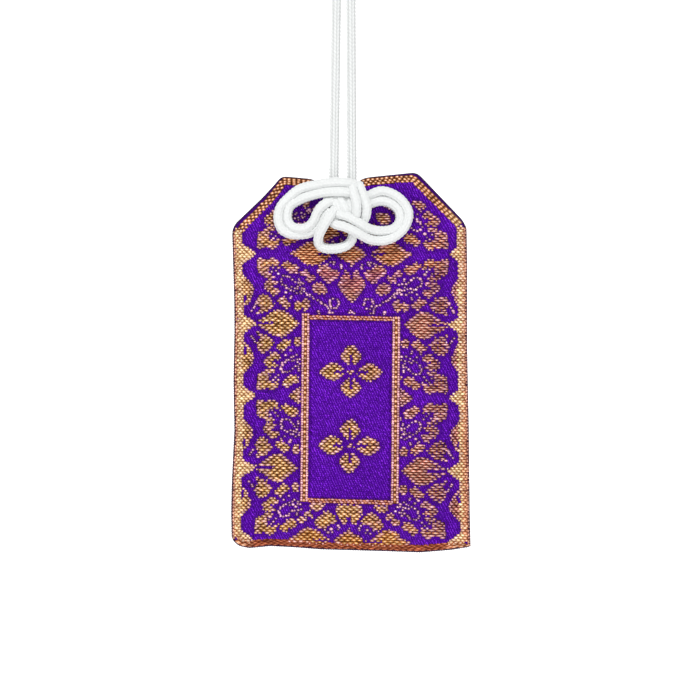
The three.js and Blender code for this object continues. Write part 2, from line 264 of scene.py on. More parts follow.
def white_cord(name, valley_shade, side, crown):
    n = Nodes(name)
    yarn = n.add("ShaderNodeAttribute", attribute_name="yarn")
    fibre = n.noise(n.place(scale=(9, 9, 3)), 1.0, 3)
    broad = n.noise(n.place(), 0.35, 2)
    # painted shade: the braid's valleys, where the yarn is low, are coloured darker than its crowns
    shade = n.math("ADD", n.math("MULTIPLY", yarn.outputs["Fac"], 0.7), n.math("MULTIPLY", fibre, 0.2))
    shade = n.math("ADD", shade, n.math("MULTIPLY", broad, 0.1))
    n.colour(n.ramp(shade, *((at, (v * 0.98, v, v * 0.994)) for at, v in ((0.08, valley_shade), (0.5, side), (0.9, crown)))))
    n.bump(fibre, 0.05, 0.5)
    n.set(Roughness=0.62, Sheen_Weight=0.1, Sheen_Roughness=0.5, Specular_IOR_Level=0.25)
    return n.material


def purple_satin():
    n = Nodes("purple_satin_ground")
    rim = n.add("ShaderNodeAttribute", attribute_name="rim")
    spot = n.place()
    warp = n.wave(spot, 0.23, "X", 0.6, 3.0)
    speck = n.noise(n.place(scale=(2.6, 2.6, 1.9)), 1.0, 2)
    broad = n.noise(spot, 0.09, 2)
    weave = n.math("ADD", n.math("MULTIPLY", warp, 0.4), n.math("MULTIPLY", speck, 0.6))
    fine = n.ramp(weave, (0.3, lin(52, 0, 118)), (0.7, lin(84, 8, 158)))
    fine = n.mix("MULTIPLY", 1.0, fine, n.ramp(broad, (0.3, (0.85, 0.85, 0.87)), (0.7, (1.0, 1.0, 1.0))))
    # the "rim" attribute paints shade on the rolled rim and the slope folds
    n.colour(n.mix("MIX", rim.outputs["Fac"], fine, lin(30, 0, 34)))
    n.bump(weave, 0.05, 0.6)
    n.set(Roughness=0.5, Specular_IOR_Level=0.25, Specular_Tint=(0.5, 0.06, 0.9, 1))
    return n.material


def purple_floats():
    n = Nodes("purple_satin_floats")
    colour = n.add("ShaderNodeAttribute", attribute_name="weft")
    broad = n.noise(n.place(), 0.09, 2)
    n.colour(n.mix("MULTIPLY", 1.0, colour.outputs["Color"], n.ramp(broad, (0.3, (0.86, 0.86, 0.88)), (0.7, (1.0, 1.0, 1.0)))))
    n.bump(n.wave(n.place(), 0.12, "X", 0.4), 0.02, 0.3)
    n.set(Roughness=0.45, Specular_IOR_Level=0.3, Specular_Tint=(0.5, 0.08, 0.9, 1))
    return n.material


def gold_weft():
    n = Nodes("gold_weft")
    colour = n.add("ShaderNodeAttribute", attribute_name="weft")
    grain = n.noise(n.place(scale=(3, 3, 9)), 1.0, 2)
    tint = n.ramp(grain, (0.3, (0.78, 0.76, 0.74)), (0.7, (1.0, 1.0, 1.0)))
    n.colour(n.mix("MULTIPLY", 1.0, colour.outputs["Color"], tint))
    n.bump(n.wave(n.place(), 0.11, "Z", 0.5), 0.02, 0.35)
    n.set(Metallic=0.45, Roughness=0.4, Specular_IOR_Level=0.2, Specular_Tint=(1.0, 0.7, 0.5, 1))
    return n.material


def sewing_thread():
    n = Nodes("purple_thread")
    ply = n.wave(n.place(rotation=(0.5, 0.7, 0.3)), 0.16, "X", 0.3)
    n.colour(n.ramp(ply, (0.2, lin(26, 0, 30)), (0.8, lin(58, 4, 66))))
    n.bump(ply, 0.03, 0.6)
    n.set(Roughness=0.6, Specular_IOR_Level=0.15, Specular_Tint=(0.6, 0.2, 0.8, 1))
    return n.material


def felted_cloth():
    n = Nodes("non_woven_interfacing")
    fibre = n.noise(n.place(scale=(2, 2, 5)), 1.0, 6, 0.7)
    n.colour(n.ramp(fibre, (0.3, lin(196, 190, 176)), (0.7, lin(232, 228, 218))))
    n.bump(fibre, 0.05, 0.7)
    n.set(Roughness=0.9)
    return n.material


def grey_board():
    n = Nodes("grey_brown_board")
    speck = n.noise(n.place(), 3.2, 6, 0.7)
    broad = n.noise(n.place(), 0.3, 2)
    both = n.math("ADD", n.math("MULTIPLY", speck, 0.6), n.math("MULTIPLY", broad, 0.4))
    n.colour(n.ramp(both, (0.3, lin(150, 126, 92)), (0.7, lin(186, 162, 124))))
    n.bump(speck, 0.03, 0.5)
    n.set(Roughness=0.85)
    return n.material


def plain_wood():
    n = Nodes("planed_wood")
    grain = n.wave(n.place(scale=(1, 1, 0.05)), 1.6, "X", 3.0, 0.6)
    pores = n.noise(n.place(scale=(8, 8, 0.4)), 1.0, 3)
    both = n.math("ADD", n.math("MULTIPLY", grain, 0.6), n.math("MULTIPLY", pores, 0.4))
    n.colour(n.ramp(both, (0.2, lin(196, 148, 92)), (0.8, lin(232, 194, 140))))
    n.bump(pores, 0.03, 0.5)
    n.set(Roughness=0.6)
    return n.material


def plain_paper():
    n = Nodes("folded_paper")
    fibre = n.noise(n.place(scale=(4, 4, 1.2)), 1.0, 5, 0.65)
    n.colour(n.ramp(fibre, (0.3, lin(226, 221, 208)), (0.7, lin(244, 241, 233))))
    n.bump(fibre, 0.02, 0.5)
    n.set(Roughness=0.8)
    return n.material


# one white cord in two copies lit differently: the strands' copy with deep painted shade in its valleys, the knot's
# copy flatter, its valleys painted light against the shade between the knot's cords
CORD = white_cord("white_braided_cord", 0.475, 0.69, 0.78)
KNOT_CORD = white_cord("white_braided_knot_cord", 0.715, 0.72, 0.725)
SATIN = purple_satin()
FLOATS = purple_floats()
GOLD = gold_weft()
THREAD = sewing_thread()

# ---------------------------------------------------------------------- cord
# A round braid of eight yarns: columns of short slanted floats, each column
# leaning against the next.
CORD_R = 1.0
BRAID_COLUMNS = 8
BRAID_PITCH = 0.82
BRAID_DEPTH = 0.15
STEP = BRAID_PITCH / 8
AROUND = BRAID_COLUMNS * 6


def carried(line, start=None):
    """The line's direction, and one across it that doesn't twist round it."""
    tangent = np.gradient(line, axis=0)
    tangent /= np.linalg.norm(tangent, axis=1)[:, None]
    side = np.zeros_like(line)
    if start is None:
        start = np.cross(tangent[0], [0.31, 0.12, 0.94])
    if np.linalg.norm(start) < 0.2:
        start = np.cross(tangent[0], [0, 1, 0])
    side[0] = start / np.linalg.norm(start)
    for i in range(len(line)):
        s = side[max(i - 1, 0)]
        s = s - tangent[i] * (s @ tangent[i])
        side[i] = s / np.linalg.norm(s)
    return tangent, side


def braid(points, radius=CORD_R, at=0.0, start=None):
    """(vertices, quads, triangles, centre line, height of the yarn) of a cord through the
    points, with rounded ends. at is the length at which the braid starts and
    start its direction there, so that two pieces can carry on from each other."""
    line = through(points, STEP)
    n = len(line)
    tangent, side = carried(line, start)
    other = np.cross(tangent, side)
    along = at + np.concatenate([[0], np.cumsum(np.linalg.norm(np.diff(line, axis=0), axis=1))])
    theta = np.linspace(0, 2 * math.pi, AROUND, endpoint=False)
    c = theta / (2 * math.pi) * BRAID_COLUMNS
    k = np.floor(c + 1e-9)
    u = (c - k) * 2 - 1
    lean = np.where(k % 2 == 0, 1.0, -1.0)
    phase = along[:, None] / BRAID_PITCH + (lean * u * 0.42)[None, :] + ((k % 4) * 0.25)[None, :]
    float_ = (0.5 + 0.5 * np.cos(2 * math.pi * phase)) ** 0.8
    crown = 1 - np.abs(u) ** 2.4
    f = crown[None, :] * (0.42 + 0.58 * float_)
    r = radius - BRAID_DEPTH * (radius / CORD_R) * (1 - f)
    ends = 5
    for i in range(ends):
        shrink = math.sqrt(1 - ((ends - i) / (ends + 0.6)) ** 2)
        r[i] *= shrink
        r[n - 1 - i] *= shrink
    ring = (np.cos(theta)[None, :, None] * side[:, None, :] + np.sin(theta)[None, :, None] * other[:, None, :])
    verts = (line[:, None, :] + ring * r[:, :, None]).reshape(-1, 3)
    i, j = np.meshgrid(np.arange(n - 1), np.arange(AROUND), indexing="ij")
    a = i * AROUND + j
    b = i * AROUND + (j + 1) % AROUND
    quads = np.stack([a, b, b + AROUND, a + AROUND], axis=-1).reshape(-1, 4)
    first, last = len(verts), len(verts) + 1
    verts = np.vstack([verts, line[:1], line[-1:]])
    yarn = np.concatenate([f.ravel(), [0.5, 0.5]])
    j = np.arange(AROUND)
    tris = np.vstack([
        np.stack([np.full(AROUND, first), (j + 1) % AROUND, j], axis=1),
        np.stack([np.full(AROUND, last), (n - 1) * AROUND + j, (n - 1) * AROUND + (j + 1) % AROUND], axis=1),
    ])
    return verts, quads, tris, line, yarn


def cord_piece(name, *routes, radius=CORD_R, at=0.0, start=None, material=CORD):
    """One mesh of one or more braided cords."""
    verts, quads, tris, lines, yarns, base = [], [], [], [], [], 0
    for route in routes:
        v, q, t, line, yarn = braid(route, radius, at, start)
        yarns.append(yarn)
        verts.append(v)
        quads.append(q + base)
        tris.append(t + base)
        lines.append(line)
        base += len(v)
    piece = build(name, np.vstack(verts), np.vstack(quads), np.vstack(tris), material)
    layer = piece.data.attributes.new("yarn", "FLOAT", "POINT")
    layer.data.foreach_set("value", np.concatenate(yarns).astype(np.float32))
    return piece, lines


POUCH_Y = 0.3  # the pouch and its knot hang this far behind the strands' line


def hung(points):
    return [(x, y + POUCH_Y, z) for x, y, z in points]


# the two strands of the loop, from behind the knot up to the end knot
FOOT_Z, TOP_Z, SPLIT_Z = -51.7, -0.8, -8.0
STRAND_R = 1.08
STRANDS = {"left": (-1.97, -1.26), "right": (1.85, 1.56)}
strand_pieces = {}
for hand, (foot, top) in STRANDS.items():
    def strand_x(z, foot=foot, top=top):
        return foot + (top - foot) * (z - FOOT_Z) / (TOP_Z - FOOT_Z)

    tuck = -1.9 if hand == "left" else 1.9
    # in front of the mouth's edge, with room for the pouch to rock behind it
    low = [(tuck, -2.7, -55.6), (tuck, -2.25, -54.4), (foot, -1.7, -52.9)]
    low += [(strand_x(z), y, z) for y, z in ((-1.3, -51.4), (-0.8, -49.5), (-0.35, -47.0))]
    low += [(strand_x(z), 0, z) for z in np.linspace(-44.0, SPLIT_Z, 8)]
    piece, (line,) = cord_piece(f"hanging_strand_{hand}_cord", low, radius=STRAND_R)
    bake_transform(piece)
    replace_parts(piece, f"hanging_strand_{hand}")
    run = float(np.linalg.norm(np.diff(line, axis=0), axis=1).sum())
    # each rounded end lies inside the other piece
    high = [(strand_x(z), 0, z) for z in np.linspace(SPLIT_Z - 9 * STEP, 2.4, 6)]
    upper, (upper_line,) = cord_piece(f"hanging_strand_{hand}_bend", high, radius=STRAND_R, at=run - 9 * STEP, start=carried(line)[1][-1])
    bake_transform(upper)
    strand_pieces[hand] = (piece, upper, line, run)

# the end knot: both strands turned once round themselves and pulled tight
def turned(z0, start):
    out = []
    for t in np.linspace(-0.18, 1.18, 26):
        grow = smoothstep(-0.18, 0.08, t) * (1 - smoothstep(0.92, 1.18, t))
        r = 0.7 + 1.62 * float(grow)
        a = start + t * 2 * math.pi
        out.append((0.15 + r * math.cos(a), r * math.sin(a), z0 + 3.15 * t))
    return out


end_knot, _ = cord_piece("end_knot_turns", turned(1.55, -1.9), turned(3.4, -1.9))
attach(end_knot, "hang_end")
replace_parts(end_knot, "end_knot")
tails = {}
for hand, points in {
    "left": [(-0.9, 0, 4.6), (-0.95, 0, 6.95), (-1.5, -0.1, 9.2), (-2.6, -0.3, 11.4), (-4.1, -0.5, 13.0)],
    "right": [(1.1, 0, 4.6), (1.2, 0, 6.95), (1.7, 0.1, 9.0), (2.7, 0.2, 11.0), (4.0, 0.3, 12.2)],
}.items():
    tails[hand], _ = cord_piece(f"cord_tail_{hand}_end", points)
    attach(tails[hand], "hang_end")
    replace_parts(tails[hand], f"cord_tail_{hand}")

for hand in STRANDS:
    piece, upper, line, run = strand_pieces[hand]

# the knot: doubled bands that each cross over the next, and the loops they
# run out into
LIE, KNOT_R = -1.85, 1.09
left_outer = [(3.9, -2.5, -55.0), (2.7, -3.3, -54.2), (0.4, -4.25, -53.65), (-2.4, -4.2, -53.62), (-5.6, -3.3, -54.06),
              (-9.2, -2.4, -54.97), (-11.62, -2.0, -56.82), (-13.2, LIE, -58.6), (-13.75, LIE, -60.3), (-13.6, LIE, -62.2),
              (-12.8, LIE, -63.6), (-11.34, LIE, -64.35), (-9.64, LIE + 0.05, -64.55), (-7.5, LIE, -64.3), (-5.8, -2.5, -63.6),
              (-4.5, -3.2, -62.3), (-3.6, -3.7, -60.7), (-2.7, -3.6, -59.2)]
left_inner = [(3.7, -2.5, -56.9), (2.5, -3.3, -56.15), (0.4, -4.3, -55.65), (-2.2, -4.25, -55.6), (-4.1, -3.8, -55.75),
              (-5.7, -3.3, -56.05), (-7.85, -2.7, -56.62), (-9.4, -2.2, -57.27), (-11.22, LIE, -58.42), (-11.85, LIE, -59.95),
              (-11.8, LIE, -61.5), (-10.9, LIE - 0.3, -62.85), (-9.0, LIE - 0.65, -63.35), (-7.3, -2.8, -62.85), (-6.15, -3.2, -61.6),
              (-5.55, -3.6, -60.2), (-4.75, -4.0, -58.95), (-3.6, -4.0, -58.05), (-2.3, -3.4, -57.5), (-1.2, -2.8, -57.1)]
right_outer = [(1.0, -2.4, -57.6), (3.4, -2.5, -57.0), (5.58, -2.3, -56.26), (6.64, -2.2, -55.75), (8.02, -2.0, -55.36),
               (9.72, LIE, -55.66), (11.65, LIE, -56.7), (13.1, LIE, -58.3), (13.8, LIE, -59.96), (13.6, LIE, -61.58),
               (12.75, LIE, -63.3), (11.1, LIE, -64.8), (9.3, -1.95, -65.64), (7.38, -2.2, -65.84), (5.47, -2.8, -65.55),
               (3.98, -3.4, -64.8), (2.2, -4.0, -63.85), (0.15, -4.25, -62.95), (-1.4, -3.9, -62.55), (-2.6, -3.1, -61.7)]
right_inner = [(1.2, -2.4, -59.4), (3.6, -2.5, -58.6), (6.0, -2.3, -57.85), (8.02, -2.0, -57.4), (10.1, LIE, -57.9),
               (11.8, LIE, -59.5), (12.05, LIE, -61.5), (10.85, LIE, -63.2), (8.55, -2.0, -63.78), (6.2, -2.7, -63.55),
               (4.72, -3.4, -63.0), (2.9, -4.1, -61.9), (1.0, -4.35, -60.9), (-0.8, -4.0, -60.3), (-2.0, -3.2, -59.8)]
lower = [(-0.9, -2.9, -58.2), (-1.7, -3.7, -59.2), (-2.6, -4.4, -60.4), (-3.5, -4.5, -61.8), (-4.4, -4.0, -63.3),
         (-5.15, -3.3, -64.87), (-5.25, -2.7, -66.2), (-4.75, -2.3, -67.05), (-3.75, -2.15, -67.48), (-2.2, -2.1, -67.58),
         (-0.25, -2.1, -67.28), (1.1, -2.15, -66.55), (1.85, -2.3, -65.5), (2.1, -2.5, -64.1), (1.8, -2.6, -62.8)]
right_band = [[(1.5, -2.5, -53.5), (1.7, -3.6, -54.2), (2.3, -4.6, -56.2), (2.85, -4.7, -58.6), (2.7, -4.1, -60.4), (2.2, -3.0, -61.6)],
              [(3.2, -2.5, -53.9), (3.45, -3.4, -54.5), (4.25, -4.3, -56.6), (4.92, -4.3, -58.7), (4.8, -3.8, -60.4), (4.2, -2.8, -61.8)]]
middle = [[(-0.9, -3.0, -56.6), (-0.4, -4.0, -57.8), (0.3, -4.2, -59.0), (0.9, -3.6, -60.2), (1.2, -2.9, -61.0)],
          [(-1.9, -3.1, -57.0), (-1.3, -3.9, -58.4), (-0.7, -4.0, -59.6), (-0.3, -3.2, -60.8)],
          [(1.0, -3.0, -56.9), (1.5, -3.7, -58.2), (1.6, -3.6, -59.6), (1.4, -2.9, -60.8)],
          [(-4.2, -2.7, -57.3), (-2.0, -3.1, -57.2), (0.8, -3.0, -57.2), (3.6, -2.8, -57.6)],
          [(-4.2, -2.6, -60.6), (-1.6, -3.0, -60.9), (1.2, -3.0, -61.2), (3.8, -2.7, -61.2)],
          [(-4.0, -2.3, -58.9), (-1.2, -2.5, -59.0), (1.2, -2.5, -59.0), (4.0, -2.4, -59.2)]]

for name, routes, nodes in (
    ("left_loop_outer_cord", [left_outer], ["left_loop_outer"]),
    ("left_loop_inner_cord", [left_inner], ["left_loop_inner"]),
    ("right_loop_outer_cord", [right_outer], ["right_loop_outer"]),
    ("right_loop_inner_cord", [right_inner], ["right_loop_inner"]),
    ("lower_loop_cord", [lower], ["lower_loop"]),
    ("knot_bands_cord", [*right_band, *middle], ["knot_body"]),
):
    piece, _ = cord_piece(name, *[hung(r) for r in routes], radius=KNOT_R, material=KNOT_CORD)
    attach(piece, "knot")
    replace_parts(piece, *nodes)

tie = [(0, -2.0, -58.3), (0, -1.2, -58.6), (0, 1.0, -58.6), (0, 2.6, -58.45), (0, 3.4, -57.6), (0, 3.45, -55.6),
       (0, 3.0, -54.0), (0, 2.0, -53.2), (0, 0.8, -53.0), (0, -0.4, -53.1), (0, -1.4, -53.7), (0, -2.2, -54.6)]
piece, _ = cord_piece("mouth_tie_cord", hung(tie), radius=0.8, material=KNOT_CORD)
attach(piece, "knot")
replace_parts(piece, "mouth_tie")

# --------------------------------------------------------------------- pouch
# The cut's outline in millimetres, clockwise from the dip at the mouth, with
# the side that starts at each point, and how much each corner is rounded.
CORNERS = [
    (2.06, -54.45, "dip"), (3.77, -52.6, "top_right"), (5.26, -52.2, "top_right"), (15.7, -51.12, "right_slope"),
    (26.21, -62.12, "right"), (26.35, -71.15, "right"), (26.34, -88.39, "right"), (26.71, -106.05, "right"), (26.88, -123.5, "right"),
    (27.07, -130.95, "bottom"), (23.13, -131.59, "bottom"), (16.5, -132.15, "bottom"), (9.09, -131.89, "bottom"), (1.85, -131.69, "bottom"),
    (-4.96, -131.5, "bottom"), (-10.28, -131.07, "bottom"), (-15.6, -130.8, "bottom"), (-20.0, -131.25, "bottom"), (-22.4, -130.75, "bottom"),
    (-23.75, -129.3, "left"), (-23.85, -123.5, "left"), (-23.7, -116.48, "left"), (-23.2, -106.05, "left"), (-23.4, -95.41, "left"),
    (-23.2, -84.77, "left"), (-23.25, -78.39, "left"), (-23.72, -62.7, "left_slope"), (-20.1, -59.28, "left_slope"), (-17.3, -56.6, "left_slope"), (-14.7, -53.8, "left_slope"),
    (-13.21, -51.95, "top_left"), (-6.87, -52.52, "top_left"),
    (-1.98, -54.45, "dip")]
ROUNDING = {3: 1.2, 4: 1.6, 9: 0.5, 18: 0.7, 19: 0.7, 26: 1.6, 30: 1.1}


def rounded_outline():
    points, sides = [], []
    for i, (x, z, side) in enumerate(CORNERS):
        p = np.array([x, z])
        if i not in ROUNDING:
            points.append(p)
            sides.append(side)
            continue
        ways = [np.array(CORNERS[k % len(CORNERS)][:2]) - p for k in (i - 1, i + 1)]
        a, b = [p + ROUNDING[i] * w / np.linalg.norm(w) for w in ways]
        for t in (0, 0.25, 0.5, 0.75, 1):
            points.append((1 - t) ** 2 * a + 2 * t * (1 - t) * p + t * t * b)
            sides.append(CORNERS[i - 1][2] if t < 0.5 else side)
    return np.array(points), sides


OUTLINE, SIDE_OF = rounded_outline()


def stretches(*names):
    return [i for i, side in enumerate(SIDE_OF) if side in names]


def corners_of(*names):
    """The outline's points along some sides that follow each other."""
    these = stretches(*names)
    return OUTLINE[these + [these[-1] + 1]]


EDGE_R, EDGE_ROLL, BULGE = 2.5, 1.05, 1.95
CLOTH_T = 0.6
MIDDLE = np.array([1.75, -95.0])
TOP, BOTTOM, LEFT, RIGHT = (stretches(*names) for names in (("dip", "top_left", "top_right"), ("bottom",), ("left",), ("right",)))
LEFT_DIAGONAL, RIGHT_DIAGONAL = stretches("left_slope"), stretches("right_slope")


def edge_distance(x, z, sides=None):
    """How far each point lies from the outline, or from some of its sides."""
    p = np.stack([x, z], axis=-1)
    best = np.full(len(p), 1e9)
    for i in (range(len(OUTLINE)) if sides is None else sides):
        a, b = OUTLINE[i], OUTLINE[(i + 1) % len(OUTLINE)]
        ab = b - a
        t = np.clip(((p - a) @ ab) / (ab @ ab), 0, 1)
        best = np.minimum(best, np.linalg.norm(p - (a + t[:, None] * ab), axis=1))
    return best


def inside(x, z, polygon):
    """Even and odd crossings of a closed line, for arrays of points."""
    polygon = np.asarray(polygon, float)
    hit = np.zeros(len(x), bool)
    for (x0, z0), (x1, z1) in zip(polygon, np.roll(polygon, -1, axis=0)):
        if z0 == z1:
            continue
        crosses = (z0 > z) != (z1 > z)
        hit ^= crosses & (x < (x1 - x0) * (z - z0) / (z1 - z0) + x0)
    return hit


def ripple(x, z, d):
    """The cloth's own slight unevenness."""
    return (0.045 * np.sin(0.43 * x + 1.3) * np.sin(0.29 * z + 0.4)
            + 0.03 * np.sin(0.9 * x - 0.35 * z)) * smoothstep(0.5, 5, d)


def front_y(x, z, d):
    t = np.minimum(1, d / EDGE_R)
    rolled = EDGE_ROLL * np.sqrt(np.maximum(0, 1 - (1 - t) ** 2))
    bulge = (1 - smoothstep(0.75, 1, np.abs(x - 1.75) / 21)) * (1 - smoothstep(0.75, 1, np.abs(z + 99.5) / 33))
    return POUCH_Y + 0.5 - rolled - BULGE * bulge + ripple(x, z, d)


def back_y(x, z, d):
    t = np.minimum(1, d / EDGE_R)
    return POUCH_Y + 2.0 + 0.3 * np.sqrt(np.maximum(0, 1 - (1 - t) ** 2))


def outline_points(spacing):
    points = []
    for a, b in zip(OUTLINE, np.roll(OUTLINE, -1, axis=0)):
        count = max(2, int(round(np.linalg.norm(b - a) / spacing)))
        points.append(a + (b - a) * np.linspace(0, 1, count, endpoint=False)[:, None])
    points = np.vstack(points)
    for _ in range(2):  # corners just off sharp
        points = 0.25 * np.roll(points, 1, axis=0) + 0.5 * points + 0.25 * np.roll(points, -1, axis=0)
    return points


def ground(name, face_y, away):
    """The cloth itself: its outer face, its rim and its inner face. away is
    the direction in y from the outer to the inner face."""
    rim = outline_points(0.5)
    m = len(rim)
    shares = np.concatenate([np.linspace(0.015, 0.89, 62), np.linspace(0.9, 1.0, 22)])
    rings, painted_rim_shade = [], []
    for share in shares:
        p = MIDDLE + share * (rim - MIDDLE)
        d = edge_distance(p[:, 0], p[:, 1]) if share < 1 else np.zeros(m)
        slope = np.minimum(edge_distance(p[:, 0], p[:, 1], RIGHT_DIAGONAL), edge_distance(p[:, 0], p[:, 1], LEFT_DIAGONAL))
        # painted shade: darker towards the rolled rim and along the folds of the slopes, kept in the "rim" attribute
        painted_rim_shade.append(np.maximum(1 - smoothstep(0.15, 0.55, d), 0.7 * (1 - smoothstep(0.4, 1.1, slope))))
        rings.append(np.stack([p[:, 0], face_y(p[:, 0], p[:, 1], d), p[:, 1]], axis=1))
    within = sorted({*range(0, len(rings), 3), *range(len(rings) - 8, len(rings))})
    faces, centres = [], []
    offset = 0
    for these, flip in ((range(len(rings)), away < 0), (within, away > 0)):
        count = len(these)
        i, j = np.meshgrid(np.arange(count - 1), np.arange(m), indexing="ij")
        a, b = offset + i * m + j, offset + i * m + (j + 1) % m
        quads = np.stack([a, b, b + m, a + m], axis=-1).reshape(-1, 4)
        faces.append(quads[:, ::-1] if flip else quads)
        offset += count * m
    outer, inner = np.vstack(rings), np.vstack([rings[k] for k in within])
    inner[:, 1] += away * CLOTH_T
    painted_rim_shade = np.concatenate(painted_rim_shade + [painted_rim_shade[k] for k in within] + [[0, 0]])
    j = np.arange(m)
    nxt = (j + 1) % m
    last, inner_0, inner_last = len(outer) - m, len(outer), len(outer) + len(inner) - m
    side = np.stack([last + j, last + nxt, inner_last + nxt, inner_last + j], axis=1)
    faces.append(side[:, ::-1] if away < 0 else side)
    top = len(outer) + len(inner)
    verts = np.vstack([outer, inner, [[MIDDLE[0], outer[:m, 1].mean(), MIDDLE[1]]], [[MIDDLE[0], inner[:m, 1].mean(), MIDDLE[1]]]])
    fan = np.stack([np.full(m, top), nxt, j], axis=1)
    fan_under = np.stack([np.full(m, top + 1), inner_0 + j, inner_0 + nxt], axis=1)
    if away < 0:
        fan, fan_under = fan[:, ::-1], fan_under[:, ::-1]
    piece = build(name, verts, np.vstack(faces), np.vstack([fan, fan_under]), SATIN)
    layer = piece.data.attributes.new("rim", "FLOAT", "POINT")
    layer.data.foreach_set("value", painted_rim_shade.astype(np.float32))
    flat_map(piece)
    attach(piece, "pouch")
    return piece


def flat_map(piece):
    """A flat map of x and z, as the cloth was woven."""
    mesh = piece.data
    layer = mesh.uv_layers.new(name="OFBake")
    co = np.zeros(len(mesh.vertices) * 3, np.float32)
    mesh.vertices.foreach_get("co", co)
    co = co.reshape(-1, 3) / MM
    index = np.zeros(len(mesh.loops), np.int32)
    mesh.loops.foreach_get("vertex_index", index)
    uv = np.stack([(co[:, 0] + 40) / 84, (co[:, 2] + 134) / 84], axis=1)[index]
    layer.data.foreach_set("uv", uv.astype(np.float32).ravel())


# -------------------------------------------------------- the woven pattern
# The figures are drawn on picture points and repeat as mirror images: left
# and right about AXIS, and up and down about the flower and leaf lines.
AXIS = 351.5
REPEAT = 144.2
FLOWER_LINE = 181.1
LEAF_LINE = 253.2
SCALE_V = 71.5 / 72.1
FRAME_MID, FRAME_HALF, FRAME_W = 350.95, 49.1, 7.5
FRAME_TOP, FRAME_BOTTOM, FRAME_H = 315.9, 503.7, 4.3


def tilt(py):
    """The rows sink a little to the right, more so lower down."""
    return 0.004 + (py - 181) * 7.2e-5


def laid(px, row):
    """Where a place of the weave lies in the picture: the cloth has pulled a
    little out of true, sideways lower down and up and down along the rows."""
    lean = np.interp(row, [345, 400, 432, 464, 500, 540], [0, -0.6, -1.1, -1.6, -2.2, -2.6])
    sag = np.interp(row, [208, 240, 272, 304, 336, 368, 400, 432, 464, 496, 528],
                    [1.7, 1.3, -0.3, -0.9, -0.8, 0.1, -0.8, -1.2, -0.2, 1.4, 0.0])
    sag = sag + 1.0 * (1 - smoothstep(246, 262, px)) - 0.9 * smoothstep(436, 452, px)
    lean = lean + 2.4 * smoothstep(428, 446, px) - 1.0 * (1 - smoothstep(246, 262, px)) * smoothstep(465, 500, row)
    return px + lean, row + sag + tilt(row) * (px - AXIS)


def frame_tilt(row):
    return 0.018 + (row - 318) * 7e-5


def frame_lean(row):
    return np.interp(row, [335, 407, 482, 505], [0, -0.7, -1.4, -1.65])


def in_frame(px, py):
    """A picture point's distance from the frame's middle line, and its row."""
    row = py - frame_tilt(py) * (px - AXIS)
    return np.abs(px - frame_lean(row) - FRAME_MID), row


def rounded(points, n=5):
    """A smooth closed line through the points."""
    p = np.asarray(points, float)
    q = np.vstack([p[-1:], p, p[:2]])
    out = []
    for i in range(1, len(q) - 2):
        a, b, c, d = q[i - 1], q[i], q[i + 1], q[i + 2]
        t = np.linspace(0, 1, n, endpoint=False)[:, None]
        out.append(0.5 * (2 * b + (c - a) * t + (2 * a - 5 * b + 4 * c - d) * t ** 2 + (3 * b - a - 3 * c + d) * t ** 3))
    return np.vstack(out)


def filled(x, y, shape, grow=0.2):
    """Points inside a closed line, or just outside it."""
    low, high = shape.min(axis=0) - grow, shape.max(axis=0) + grow
    close = np.where((x > low[0]) & (x < high[0]) & (y > low[1]) & (y < high[1]))[0]
    hit = np.zeros(len(x), bool)
    hit[close] = inside(x[close], y[close], shape) | near(x[close], y[close], np.vstack([shape, shape[:1]]), grow)
    return hit


def near(x, y, line, reach):
    """Points within reach of an open line."""
    p = np.stack([x, y], axis=-1)
    hit = np.zeros(len(p), bool)
    line = np.asarray(line, float)
    for a, b in zip(line[:-1], line[1:]):
        ab = b - a
        t = np.clip(((p - a) @ ab) / (ab @ ab), 0, 1)
        hit |= np.linalg.norm(p - (a + t[:, None] * ab), axis=1) < reach
    return hit


HOLE = (0.0, -58.6, 1.6)  # the punched hole for the mouth's cord, with room round it


def by_hole(x, z):
    return np.hypot(x - HOLE[0], z - HOLE[1]) < HOLE[2]


